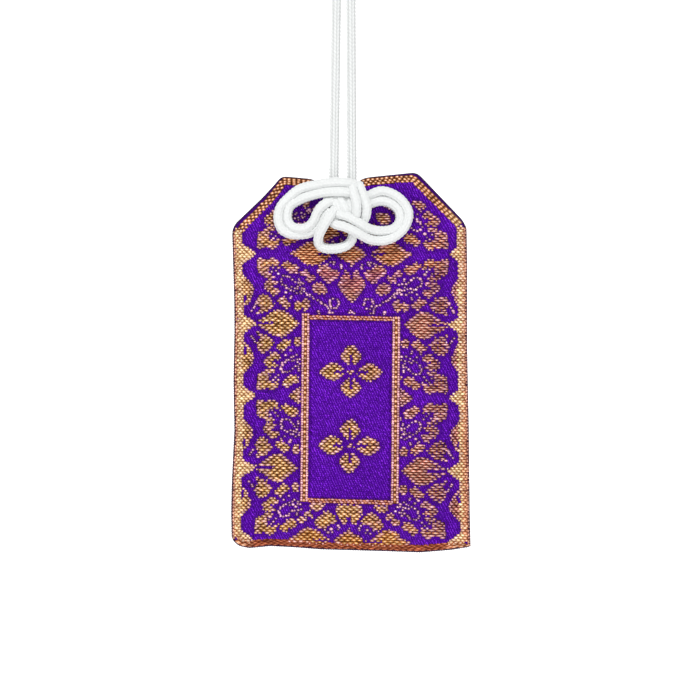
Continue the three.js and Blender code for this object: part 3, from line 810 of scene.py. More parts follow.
# beside the border: (picture x, distance from a flower line)
BORDER_SHAPES = [
    [(238, -10), (243.4, -9.4), (246.2, -7.2), (250.5, -5), (254, -2.7), (256.8, 0), (254, 2.7), (250.5, 5), (246.2, 7.2), (243.4, 9.4), (238, 10)],
    [(238, 60.4), (243.5, 61.4), (247, 64.2), (251, 66.8), (254, 69.2), (255.6, 71.5), (254, 73.8), (251, 76.2), (247, 78.8), (243.5, 81.6), (238, 82.6)],
    [(243.2, 18), (246.8, 19), (249.6, 21.4), (250.9, 24.6), (251.8, 27.8), (253.4, 30), (254.3, 33.5), (252.8, 38.3), (250.3, 41.8), (247.2, 45.2),
     (244.2, 48.3), (238, 49.5), (238, 30), (245.6, 29.4), (246.8, 26), (246.4, 22.8), (243.4, 20.4)],
]
SIDE_SHAPES = [
    [(298.9, -0.9), (298.9, 0.6), (295.2, 4.4), (288.9, 9.8), (283.4, 13.1), (278.6, 13.6), (272.3, 11.3), (267.5, 8.4), (262.8, 5.2), (259, 2.6), (258.2, 1.25), (274.5, 1.2), (274.8, -0.9)],
    [(256.3, 8.2), (259.6, 9.3), (263, 11), (267.5, 12), (272, 16.3), (274.2, 18.6), (271.3, 22.6), (268.8, 26.6), (262.8, 29.4),
     (259.3, 27.8), (257.2, 22.8), (255.3, 20.4), (258.4, 17), (259.4, 13.2), (257, 10.8)],
    [(284.9, 14.3), (288.9, 16.1), (291.5, 20.1), (288.1, 22.4), (286.1, 24.8), (283.4, 28.2), (282.4, 26), (278.6, 25.6), (276.8, 22), (281.8, 17.7)],
    [(293.6, 17.6), (297.6, 23.2), (301.2, 20), (301, 15), (297, 12.6)],
    [(302, 21), (305.1, 25.8), (311, 20.4), (307.6, 14.5), (305, 12.2), (302, 15.5)],
    [(272.3, 27.4), (277, 28.6), (280.8, 32.7), (278.6, 35.3), (275.4, 35.3), (272, 36.9), (275.4, 38.9), (278.6, 40.8), (275.4, 42.8),
     (266.8, 42.8), (264.2, 37), (266.8, 32.7), (270.7, 31.1)],
    [(258.4, 50.5), (262.8, 48.1), (267.5, 44.8), (273, 44.6), (275.9, 46.2), (273.6, 48.6), (269.6, 49.6), (269, 53.8), (271.2, 58), (275.4, 58.4),
     (277.4, 56.2), (280.2, 55.6), (279.4, 59.6), (277.4, 64.4), (272.3, 67.7), (268, 65), (263, 65.6), (259.6, 67.5), (257.5, 65), (257.7, 58)],
    [(288.9, 51.2), (296.4, 50.3), (299, 55.7), (296.8, 59.4), (290.5, 60.6), (288.9, 63.8), (284.9, 62.6), (282.4, 58.8), (286.1, 54.9)],
]
SIDE_LINES = [
    [(251, 12.4), (253.3, 15.2), (255, 18), (256.4, 21.5)],
    [(297, 30), (293.8, 32.6), (290.8, 33), (288.8, 35.2), (285.6, 35.8), (285.4, 37.8)],
    [(282.5, 38.2), (282.6, 40.6), (280.6, 43), (282.5, 46), (283.4, 47.8), (287.8, 47.3), (290.6, 46.8), (291.8, 45), (294.2, 42.8), (296.8, 40.3)],
    [(299.5, 43.2), (299, 45.4)],
    [(285.9, 30.7)],
    [(290.6, 25.4), (291.6, 27.3)],
    [(282.4, 27.9)],
    [(297.4, 37.2), (300, 38.8)],
    [(271.2, 51.6)],
    [(276, 53.6)],
    [(273.4, 56.2)],
    [(278.6, 50.4)],
]
STAR = [(289.6, 71.5), (296.3, 65.4), (302.6, 62.6), (304, 71.5), (302.6, 80.4), (296.3, 77.6)]
# about the middle line: (picture x, distance from a leaf line)
MIDDLE_SHAPES = [
    [(290.3, -0.9), (290.3, 0.6), (294, 2.7), (298.6, 5.4), (303.5, 10), (307.6, 12.3), (314.9, 12.2), (320.7, 9.9), (324.7, 7), (328, 4.5), (331.7, 1.8), (331.5, 1.25), (316.8, 1.2), (316.5, -0.9)],
    [(337, -0.9), (337.3, 1.4), (339.5, 4.2), (344, 7), (348.5, 9.6), (351, 13.2), (353, 13.2), (353, -0.9)],
    [(317, 18.4), (319.8, 13.5), (323.9, 11.7), (328.8, 13.2), (332.1, 16.5), (337, 17.2), (339.2, 19.8), (336.4, 25.9), (331.3, 30.2), (327.2, 30.2), (322.9, 25.8)],
    [(345.4, 16.8), (348.4, 18), (349.5, 22), (349.6, 26), (353, 26.4), (353, 48.8), (348.6, 48), (344.6, 43), (340, 37), (338.2, 32), (339.6, 27.4), (343, 22)],
    [(300, 22), (303.5, 16.4), (308.2, 18.5), (309.4, 22.4), (305.1, 23.8)],
    [(306.4, 25.6), (311.7, 23), (315.5, 23.1), (312.9, 28.9), (307.4, 29.9)],
    [(312.3, 33.4), (315.8, 30.4), (321.5, 30.4), (327, 36.8), (325.6, 41.5), (316.6, 41.4), (312.2, 37.1)],
]
RING = [(334.2 + 4.7 * math.cos(a), 50.4 + 4.7 * math.sin(a)) for a in np.linspace(-0.9, 4.9, 18)]
MIDDLE_LINES = [
    [(326.4, 11.5), (330.5, 8.8), (335.3, 8.8), (333, 12.5)],
    [(341.1, 11.5), (341.9, 14.5), (339, 16.8)],
    [(291.3, 35), (297, 36.4), (301, 37.4), (306.5, 41), (309, 41.5), (312, 43.9), (314, 46.4), (317.5, 48.3), (320, 48.8), (321.4, 50.9),
     (324.5, 52.7), (327.3, 53.2), (328.2, 55.7), (329.5, 58.3), (329.6, 60.8)],
    [(328.4, 56.2), (333, 55.8), (337, 55.4)],
    [(308.4, 40.4), (311.2, 42.2), (309.6, 44.6), (307.4, 42.8)],
    [(302, 36.2), (305.2, 36.8), (305.4, 39.8), (301.6, 41.4), (300.2, 39.2)],
    RING,
    [(318.4, 58.4), (318.6, 61)],
    [(332.4, 60.1), (333.4, 60.9)],
    [(296.6, 30.4), (301, 30.6), (305.4, 31.6)],
    [(349, 60.2), (350.6, 58), (352.6, 59.9)],
]
# two four-petalled diamond flowers inside the frame
FLOWER_PETALS = [
    rounded([(5.5, 0), (11, -6.4), (20, -9.2), (31.5, 0), (20, 9.2), (11, 6.4)]),
    rounded([(0, 5.2), (6.6, 9.6), (10, 16.8), (0, 27), (-10, 16.8), (-6.6, 9.6)]),
]
PETAL_SLIT, PETAL_SLIT_END = 1.2, 17
FLOWERS_AT = [(351.2, 372.0), (351.2, 446.5)]
SMOOTH = {id(s): rounded(s) for s in [*BORDER_SHAPES, *SIDE_SHAPES, *MIDDLE_SHAPES, STAR]}

LATTICE_X, LATTICE_Y = 3.5, 2.45
ROW_0, COL_0 = 168.0, 226.0
ROWS, COLS = 160, 74
NONE, BORDER, LOBE, BAND, HEM, RIM, FIGURE, DOT, FRAME, FRAME_END, MARK = range(11)


# how long a float is, where it isn't as long as the lattice's own step
FLOAT_X = {BORDER: 4.6, LOBE: 4.6, FIGURE: 6.2, MARK: 6.2, BAND: 4.8, HEM: 6.4}


def lattice(step=LATTICE_X):
    """Every place where a float of gold weft can lie, in picture points."""
    r, c = np.meshgrid(np.arange(ROWS), np.arange(int(COLS * LATTICE_X / step)), indexing="ij")
    px = COL_0 + (c + 0.5 * (r % 2)) * step
    return px.ravel(), (ROW_0 + r * LATTICE_Y).ravel()


def woven(px, row, at, x, z, marks):
    """Which figure, if any, has the float at each place of the lattice. at
    is where the place lies in the picture, x and z where it is on the cloth."""
    kind = np.zeros(len(px), int)
    d = edge_distance(x, z)
    within = inside(x, z, OUTLINE)
    left = np.where(px > AXIS, 2 * AXIS - px, px)
    half = REPEAT / 2
    from_flower = np.abs((row - FLOWER_LINE + half) % REPEAT - half) * SCALE_V
    from_leaf = np.abs((row - LEAF_LINE + half) % REPEAT - half) * SCALE_V
    d_slope = np.minimum(edge_distance(x, z, RIGHT_DIAGONAL), edge_distance(x, z, LEFT_DIAGONAL))
    d_top = edge_distance(x, z, TOP)
    d_hem = edge_distance(x, z, BOTTOM)
    d_side = np.minimum(edge_distance(x, z, LEFT), edge_distance(x, z, RIGHT))

    bar, bar_row = in_frame(*at)
    framed = (bar < FRAME_HALF + 0.5) & (bar_row > FRAME_TOP - 0.4) & (bar_row < FRAME_BOTTOM + 0.4)
    clear = (d_slope > 2.75) & (d_top > 2.5) & (d_side > 2.0) & (row > 199)
    for shape in SIDE_SHAPES:
        kind[filled(left, from_flower, SMOOTH[id(shape)]) & clear & ~framed] = FIGURE
    for shape in MIDDLE_SHAPES:
        kind[filled(left, from_leaf, SMOOTH[id(shape)]) & clear & ~framed] = FIGURE
    beside_frame = np.abs(row - 397.4) < 14
    kind[filled(left, from_flower, SMOOTH[id(STAR)]) & beside_frame & ~framed] = FIGURE
    for shape in BORDER_SHAPES[:2]:
        kind[filled(left, from_flower, SMOOTH[id(shape)]) & (d_slope > 2.6)] = BORDER
    kind[filled(left, from_flower, SMOOTH[id(BORDER_SHAPES[2])]) & (d_slope > 2.6)] = LOBE
    kind[(d_side < 2.1) & (d_slope >= d_side)] = BORDER
    if marks:
        for mx, my in FLOWERS_AT:
            u, v = px - mx, row - my
            for petal, along in ((FLOWER_PETALS[0], u), (FLOWER_PETALS[1], v)):
                across = v if along is u else u
                for sign in (1, -1):
                    a = u * sign if along is u else u
                    b = v if along is u else v * sign
                    hit = filled(a, b, petal, 0.1) & ~((np.abs(across) < PETAL_SLIT) & (np.abs(along) < PETAL_SLIT_END))
                    kind[hit] = MARK
            kind[u * u + (v * 1.2) ** 2 < 3.2 ** 2] = MARK
    # the bands along the edges have rows of their own
    kind[((d_slope < 2.5) & (d_slope < d_side)) | (d_top < 2.3) | ((d_hem < 1.2) & (d_hem < d_side + 0.1))] = NONE
    kind[d_side < np.where(px > AXIS, 0.5, 0.62)] = NONE
    kind[~within | (d < 0.2) | by_hole(x, z)] = NONE
    return kind


# a float takes the part of its place that the figure covers
PARTS = np.array([(u, v) for u in (-0.4, -0.24, -0.08, 0.08, 0.24, 0.4) for v in (-0.82, 0, 0.82)])


def covered(px, row, depth, marks, step=LATTICE_X):
    """The figure at each place of the lattice, how far the middle of its
    covered part is from the place's own middle, and how much is covered."""
    parts = PARTS * (step, 1)
    n, m = len(px), len(parts)
    at_x, at_row = (px[:, None] + parts[:, 0]).ravel(), (row[:, None] + parts[:, 1]).ravel()
    at = laid(at_x, at_row)
    x, z = to_mm(*at, depth)
    kinds = woven(at_x, at_row, at, x, z, marks).reshape(n, m)
    if step > LATTICE_X:  # a long float doesn't bridge the gap between two figures
        steps = (kinds != NONE).reshape(n, -1, 3).mean(axis=2) > 0.5
        turns = np.diff(np.pad(steps, ((0, 0), (1, 1))).astype(int), axis=1)
        for i in np.where((turns == 1).sum(axis=1) > 1)[0]:
            runs = list(zip(np.where(turns[i] == 1)[0], np.where(turns[i] == -1)[0]))
            first, last = max(runs, key=lambda run: run[1] - run[0])
            kinds[i, : first * 3] = NONE
            kinds[i, last * 3:] = NONE
    gold = kinds != NONE
    share = gold.mean(axis=1)
    counts = np.stack([(kinds == k).sum(axis=1) for k in range(1, MARK + 1)], axis=1)
    kind = np.where(share > (0.42 if step == LATTICE_X else 0.2), counts.argmax(axis=1) + 1, NONE)
    middle = (gold[:, :, None] * parts[None]).sum(axis=1) / np.maximum(gold.sum(axis=1), 1)[:, None]
    return kind, middle * 0.9, share


def neighbours(kind):
    """How many of the six places round each one have gold too."""
    gold = np.pad((kind.reshape(ROWS, -1) > 0).astype(int), 1)
    odd = (np.arange(ROWS) % 2 == 1)[:, None]
    mid = gold[1:-1, :-2] + gold[1:-1, 2:]
    here = gold[:-2, 1:-1] + gold[2:, 1:-1]
    before = gold[:-2, :-2] + gold[2:, :-2]
    after = gold[:-2, 2:] + gold[2:, 2:]
    return (mid + here + np.where(odd, after, before)).ravel()


# rows of floats along the edges: (kind, sides, distances in from the edge)
EDGE_BANDS = [
    (BAND, ("top_right", "right_slope"), (0.62, 1.12, 1.62)),
    (BAND, ("left_slope", "top_left"), (0.62, 1.12, 1.62)),
    (RIM, ("right",), (0.36,)),
    (RIM, ("left",), (0.5,)),
    (HEM, ("bottom",), (0.56, 0.9, 1.24, 1.56)),
]


def set_back(p):
    """How much further in the bands lie on the slopes."""
    right = np.interp(p[:, 0], [13.5, 16.0, 20.0, 25.5], [0, 0.6, 0.4, 0.25])
    left = np.interp(p[:, 0], [-23, -17, -14, -12], [0.7, 0.5, 0.2, 0])
    return np.where(p[:, 0] > 0, right, left)


def edge_floats(depth):
    """Picture points, turns, lies and kinds of the floats in the edge bands."""
    out = []
    for kind, sides, distances in EDGE_BANDS:
        p = corners_of(*sides)
        d = np.diff(p, axis=0)
        d /= np.linalg.norm(d, axis=1)[:, None]
        inward = np.stack([d[:, 1], -d[:, 0]], axis=1)
        corner_in = np.vstack([inward[:1], (inward[:-1] + inward[1:]) / (1 + np.sum(inward[:-1] * inward[1:], axis=1))[:, None], inward[-1:]])
        for i, distance in enumerate(distances):
            q = p + corner_in * (distance + (set_back(p)[:, None] if kind == BAND else 0))
            run = np.concatenate([[0], np.cumsum(np.linalg.norm(np.diff(q, axis=0), axis=1))])
            step = FLOAT_X.get(kind, LATTICE_X) * PX
            at = np.arange(0.3 + step / 2 * (i % 2), run[-1] - 0.2, step)
            x, z = np.interp(at, run, q[:, 0]), np.interp(at, run, q[:, 1])
            which = np.clip(np.searchsorted(run, at) - 1, 0, len(d) - 1)
            px, py = to_px(x, z, depth)
            turn = np.arctan2(-d[which, 1], d[which, 0])
            # on the slopes the threads still lie nearly as the loom laid them
            lie = np.where(kind == BAND, turn * np.where(turn < 0, 0.35, 0.75), turn)
            out.append(np.stack([px, py, turn, lie, np.full(len(px), kind)], axis=1))
    out = np.vstack(out)
    x, z = to_mm(out[:, 0], out[:, 1], depth)
    # rows of one band stop where another band has begun
    keep = np.ones(len(out), bool)
    slope = np.minimum(edge_distance(x, z, RIGHT_DIAGONAL), edge_distance(x, z, LEFT_DIAGONAL))
    keep &= (out[:, 4] != RIM) | (slope > 0.7)
    side = np.minimum(edge_distance(x, z, LEFT), edge_distance(x, z, RIGHT))
    keep &= (out[:, 4] == RIM) | (side > 0.35)
    keep &= (out[:, 4] != HEM) | (edge_distance(x, z, BOTTOM) < side + 0.15)
    return out[keep]


def frame_floats():
    """The frame's bars: (picture x, row, kind, share of paleness)."""
    out = []
    for bar, first, last in ((FRAME_MID - FRAME_HALF + FRAME_W / 2, FRAME_TOP - 0.6, FRAME_BOTTOM - 0.4),
                             (FRAME_MID + FRAME_HALF - FRAME_W / 2, FRAME_TOP + 1.2, FRAME_BOTTOM - 2.6)):
        for i, row in enumerate(np.arange(first, last, LATTICE_Y)):
            for offset, pale in ((-2.55, 0.6 if i % 2 else 0.3), (2.55, 0.3 if i % 2 else 0.6), (0, 0.0 if i % 2 else 0.25)):
                out.append((bar + offset, row, FRAME, pale))
    inner = FRAME_HALF - FRAME_W
    for start in (FRAME_TOP + 1.05, FRAME_BOTTOM - FRAME_H + 1.05):
        for i in range(2):
            for k, px in enumerate(np.arange(FRAME_MID - inner + 0.6 + 1.75 * i, FRAME_MID + inner, LATTICE_X)):
                out.append((px, start + i * 2.15, FRAME_END, 0.5 if k % 2 else 0.0))
    return np.array(out)


def tendrils(kind, depth):
    """Small single floats along the tendrils, in every repeat."""
    out = []
    for lines, first in ((SIDE_LINES, FLOWER_LINE), (MIDDLE_LINES, LEAF_LINE)):
        for line in lines:
            p = np.asarray(line, float)
            run = np.concatenate([[0], np.cumsum(np.linalg.norm(np.diff(p, axis=0), axis=1))])
            for repeat in (0, 1, 2, 3):
                for way in (1, -1):
                    for flip in (False, True):
                        at = np.cumsum(rng.uniform(1.5, 2.4, 60)) - 1.5
                        at = at[at < run[-1] + 1]
                        x, v = np.interp(at, run, p[:, 0]), np.interp(at, run, p[:, 1])
                        out.append(np.stack([2 * AXIS - x if flip else x, first + repeat * REPEAT + way * v / SCALE_V], axis=1))
    out = np.vstack(out)
    out = out + rng.normal(0, 0.22, out.shape)
    kept = []
    for p in out:
        if not any(abs(q[0] - p[0]) < 2.0 and abs(q[1] - p[1]) < 1.4 for q in kept):
            kept.append(p)
    out = np.array(kept)
    px, row = out[:, 0], out[:, 1]
    at = laid(px, row)
    x, z = to_mm(*at, depth)
    gold_row = np.clip(np.round((row - ROW_0) / LATTICE_Y).astype(int), 0, ROWS - 1)
    gold_col = np.clip(np.round((px - COL_0) / LATTICE_X - 0.5 * (gold_row % 2)).astype(int), 0, COLS - 1)
    free = kind.reshape(ROWS, COLS)[gold_row, gold_col] == NONE
    bar, bar_row = in_frame(*at)
    framed = (bar < FRAME_HALF + 1) & (bar_row > FRAME_TOP - 1) & (bar_row < FRAME_BOTTOM + 1)
    slope = np.minimum(edge_distance(x, z, RIGHT_DIAGONAL), edge_distance(x, z, LEFT_DIAGONAL))
    clear = (slope > 2.6) & (edge_distance(x, z, TOP) > 2.6) & (edge_distance(x, z, BOTTOM) > 2.1)
    return out[free & ~framed & clear & inside(x, z, OUTLINE) & ~by_hole(x, z) & (row > 197)]


# gold threads: the light on the crown of each float, its body, and the shade
# between floats
PALETTES = {
    "left": ((255, 246, 212), (220, 162, 98), (84, 36, 14)),
    "right": ((252, 218, 202), (194, 114, 98), (70, 16, 32)),
    "top": ((254, 208, 164), (202, 120, 80), (70, 20, 14)),
    "under": ((244, 180, 176), (174, 88, 98), (74, 8, 64)),
    "low": ((255, 232, 178), (210, 134, 66), (92, 42, 8)),
    "border": ((255, 252, 220), (246, 206, 152), (168, 112, 74)),
    "border_out": ((255, 230, 202), (250, 166, 124), (160, 84, 56)),
    "rim": ((252, 210, 194), (216, 144, 116), (112, 54, 46)),
    "hem": ((198, 122, 90), (154, 76, 48), (88, 22, 12)),
    "frame": ((255, 230, 228), (230, 156, 148), (106, 48, 54)),
    "frame_dark": ((142, 84, 42), (112, 60, 26), (80, 34, 14)),
    "frame_end": ((255, 202, 172), (190, 102, 68), (108, 36, 34)),
    "band": ((255, 244, 220), (230, 150, 100), (70, 24, 12)),
    "dot": ((252, 216, 230), (210, 148, 174), (60, 2, 68)),
}
PALETTES = {k: np.array([lin(*c) for c in v]) for k, v in PALETTES.items()}


def thread_colours(kind, px, row, around, pale):
    """Crown, body and shade colours, and the length, of each float."""
    n = len(px)
    share = {k: np.zeros(n) for k in PALETTES}
    edge = np.abs(px - AXIS)
    figure = np.isin(kind, (FIGURE, MARK, LOBE))
    # The same gold thread takes a different palette by region (left, right, top, under, low, border_out): painted
    # reflection of the metallic thread, with "top" also darkened as painted shade under the knot.
    top = np.exp(-((px - 352) / 92) ** 4 - ((row - 258) / 44) ** 4)
    low = np.exp(-((px - 350) / 80) ** 4 - ((row - 540) / 16) ** 4)
    right = smoothstep(320, 440, px)
    under = smoothstep(264, 274, row)
    share["top"] = np.where(figure, top * (1 - under), 0)
    share["under"] = np.where(figure, top * under, 0)
    share["low"] = np.where(figure, low * (1 - top), 0)
    share["right"] = np.where(figure, right * (1 - top) * (1 - low), 0)
    share["left"] = np.where(figure, (1 - right) * (1 - top) * (1 - low), 0)
    outer = np.where(px > AXIS, smoothstep(110.5, 113.5, edge), 0.45 * smoothstep(113.5, 116.0, edge))
    share["border_out"] = np.where(kind == BORDER, outer, 0)
    share["border"] = np.where(kind == BORDER, 1 - outer, 0)
    ends = np.maximum(1 - smoothstep(238, 258, px), smoothstep(440, 460, px)) * 0.75
    share["band"] = np.where(kind == HEM, ends, 0)
    share["hem"] = np.where(kind == HEM, 1 - ends, 0)
    for name, which in (("rim", RIM), ("frame_end", FRAME_END), ("frame", FRAME), ("dot", DOT)):
        share[name] = np.where(kind == which, 1.0, 0)
    share["frame_dark"] = np.where((kind == FRAME) & (pale == 0), 1.0, 0)
    links = (kind == FRAME) & (np.abs(pale - 0.25) < 0.01)
    share["low"] = np.where(links, 0.75, share["low"])
    share["frame"] = share["frame"] - share["frame_dark"] - 0.75 * links
    pale = np.where(links, 0, pale)
    yellow = 0.7 * smoothstep(440, 458, px)
    share["band"] = np.where(kind == BAND, 1 - yellow, share["band"])
    share["border"] = np.where(kind == BAND, yellow, share["border"])
    pale = np.where(figure & (around < 6), 0.28 + 0.11 * (6 - around), pale)
    pale = np.where((kind == BORDER) & (around < 6) & (edge < 112), 0.3, pale)
    for k in share:
        share[k] = share[k] * (1 - pale) + (pale if k == "dot" else 0)
    # random tone per float, with a painted glint on about one float in eight
    tone_and_painted_light = np.exp(rng.normal(0, 1, n) * np.where(kind == DOT, 0.3, 0.2)) * np.where(rng.random(n) < 0.12, 1.25, 1.0)
    out = []
    for i in range(3):
        c = sum(share[k][:, None] * PALETTES[k][i] for k in PALETTES)
        if i == 2:  # the shade stays dark where the edge of a figure is pale
            plain = sum((share[k] / np.maximum(1 - pale, 0.01))[:, None] * PALETTES[k][i] for k in PALETTES if k != "dot")
            c = np.where((kind == DOT)[:, None], c, plain)
        out.append(c * (tone_and_painted_light if i < 2 else np.ones(n))[:, None])
    stripes = np.clip(top + 0.75 * right, 0, 1)
    long = 1 + 0.55 * np.where(kind == FIGURE, smoothstep(0.3, 0.8, stripes), 0) * (around >= 5)
    long = np.where(np.isin(kind, (HEM, FRAME_END)), 1.25, long)
    return out, long


# One float: a skirt that covers its place in the weave, the foot and shoulder
# of the raised thread, and its crown.
RING_N = 8
ANGLES = np.arange(RING_N) * 2 * math.pi / RING_N
SQUARE = np.stack([np.clip(1.42 * np.cos(ANGLES), -1, 1), np.clip(1.42 * np.sin(ANGLES), -1, 1)], axis=1)
ROUND = np.stack([np.cos(ANGLES), np.sin(ANGLES)], axis=1)


def on_cloth(ax, ay, face_y):
    """Points of the cloth's face under picture points."""
    y = np.full(len(ax), -1.0)
    for _ in range(2):
        x, z = to_mm(ax, ay, y)
        d = edge_distance(x, z) * np.where(inside(x, z, OUTLINE), 1, 0)
        y = face_y(x, z, d)
    return x, y, z


def finish_floats(name, verts, tint, quads, tris, material):
    piece = build(name, verts, quads, tris, material)
    attribute = piece.data.attributes.new("weft", "FLOAT_COLOR", "POINT")
    rgba = np.concatenate([np.clip(tint, 0, 1), np.ones((len(tint), 1))], axis=1)
    attribute.data.foreach_set("color", rgba.astype(np.float32).ravel())
    flat_map(piece)
    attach(piece, "pouch")
    return piece


def weft(name, px, py, row, turn, kind, around, face_y, away, rise=0.17, lie=None, pale=0.0, share=1.0):
    """Floats of gold weft as one mesh on the cloth's face."""
    n = len(px)
    colours, long = thread_colours(kind, px, row, around, np.broadcast_to(pale, n))
    part = np.broadcast_to(share, n)
    across = np.full(n, LATTICE_X)
    for k, step in FLOAT_X.items():
        across[kind == k] = step
    hw = across / 2 * np.where(kind == DOT, 0.66, np.where(kind == FRAME, 0.8, np.where(kind == BAND, 0.86, 1.0))) * (0.14 + 0.86 * part)
    hh = LATTICE_Y / 2 * np.where(kind == DOT, 0.74, np.where(kind == FRAME, 1.05, np.where(np.isin(kind, (FRAME_END, HEM)), 0.88, 1.0))) * (0.72 + 0.28 * part)
    jitter = rng.normal(0, 1, (n, 2)) * np.where(kind == DOT, 0.1, np.where(kind == FRAME, 0.14, 0.24))[:, None]
    size = np.where(kind == DOT, np.exp(rng.normal(0, 0.24, n)), 1 + rng.normal(0, 0.12, n))
    size = np.where((kind == FRAME) & (np.abs(np.broadcast_to(pale, n) - 0.25) < 0.01), 1.3, size)
    skirt = np.where(kind == FRAME, 1.5, np.where(np.isin(kind, (RIM, FRAME_END)), 1.3, np.where(kind == BAND, 1.2, np.where(kind == DOT, 1.6, 1.06))))
    bed = np.where(kind == DOT, 1.55, np.where(kind == BAND, 1.2, 1.03))
    # a long float is tied down at both ends, so less of it stands up
    foot, shoulder = np.where(across > 4, 0.9, 0.95), np.where(across > 4, 0.47, 0.66)
    thin = 1 - 0.16 * np.clip((long - 1) / 0.55, 0, 1)
    lie = (turn if lie is None else lie) + rng.normal(0, 1, n) * np.where(long > 1.3, 0.07, 0.13)
    # the skirt carries the painted shade between floats, the foot a mix of that shade and the body, the crown the
    # painted highlight
    rings = [
        (SQUARE, bed, skirt, 0.02, colours[2], False),
        (ROUND, foot, 0.9, 0.035, colours[2] * 0.72 + colours[1] * 0.28, True),
        (ROUND, shoulder, 0.6, rise * 0.78, colours[1], True),
    ]
    dxs, dys, ups, tints = [], [], [], []
    for shape, wide, high, height, tint, raised in rings:
        dx = shape[None, :, 0] * (wide * hw)[:, None]
        dy = shape[None, :, 1] * (high * hh)[:, None]
        if raised:
            dx, dy = dx * (size * long)[:, None], dy * (size * thin)[:, None]
        angle = (lie if raised else turn)[:, None]
        off = jitter if raised else np.zeros((n, 2))
        dxs.append(dx * np.cos(angle) - dy * np.sin(angle) + off[:, :1])
        dys.append(dx * np.sin(angle) + dy * np.cos(angle) + off[:, 1:])
        ups.append(np.full((n, RING_N), height))
        tints.append(np.repeat(tint[:, None, :], RING_N, axis=1))
    dxs.append(jitter[:, :1])
    dys.append(jitter[:, 1:])
    ups.append(np.full((n, 1), rise))
    tints.append(colours[0][:, None, :])
    dx, dy = np.concatenate(dxs, axis=1), np.concatenate(dys, axis=1)
    up, tint = np.concatenate(ups, axis=1), np.concatenate(tints, axis=1)
    x, y, z = on_cloth((px[:, None] + dx).ravel(), (py[:, None] + dy).ravel(), face_y)
    y = y - away * up.ravel()
    each = 3 * RING_N + 1
    j = np.arange(RING_N)
    nxt = (j + 1) % RING_N
    quads = np.vstack([np.stack([r * RING_N + j, r * RING_N + nxt, (r + 1) * RING_N + nxt, (r + 1) * RING_N + j], axis=1) for r in range(2)])
    tris = np.stack([2 * RING_N + j, 2 * RING_N + nxt, np.full(RING_N, 3 * RING_N)], axis=1)
    under = np.array([[0, k + 1, k] for k in range(1, RING_N - 1)])
    tris = np.vstack([tris, under])
    if away < 0:
        quads, tris = quads[:, ::-1], tris[:, ::-1]
    base = (np.arange(n) * each)[:, None, None]
    return finish_floats(name, np.stack([x, y, z], axis=1), tint.reshape(-1, 3),
                         (quads[None] + base).reshape(-1, 4), (tris[None] + base).reshape(-1, 3), GOLD)


# the purple warp floats of the ground: small, in a twill, each with a painted highlight on its crown and painted shade
# at its foot
TWILL_X, TWILL_Y, TWILL_STEP = 2.6, 1.9, 0.87
TWILL_CROWN_HIGHLIGHT, TWILL_FOOT_SHADE = np.array(lin(132, 44, 217)), np.array(lin(67, 0, 144))


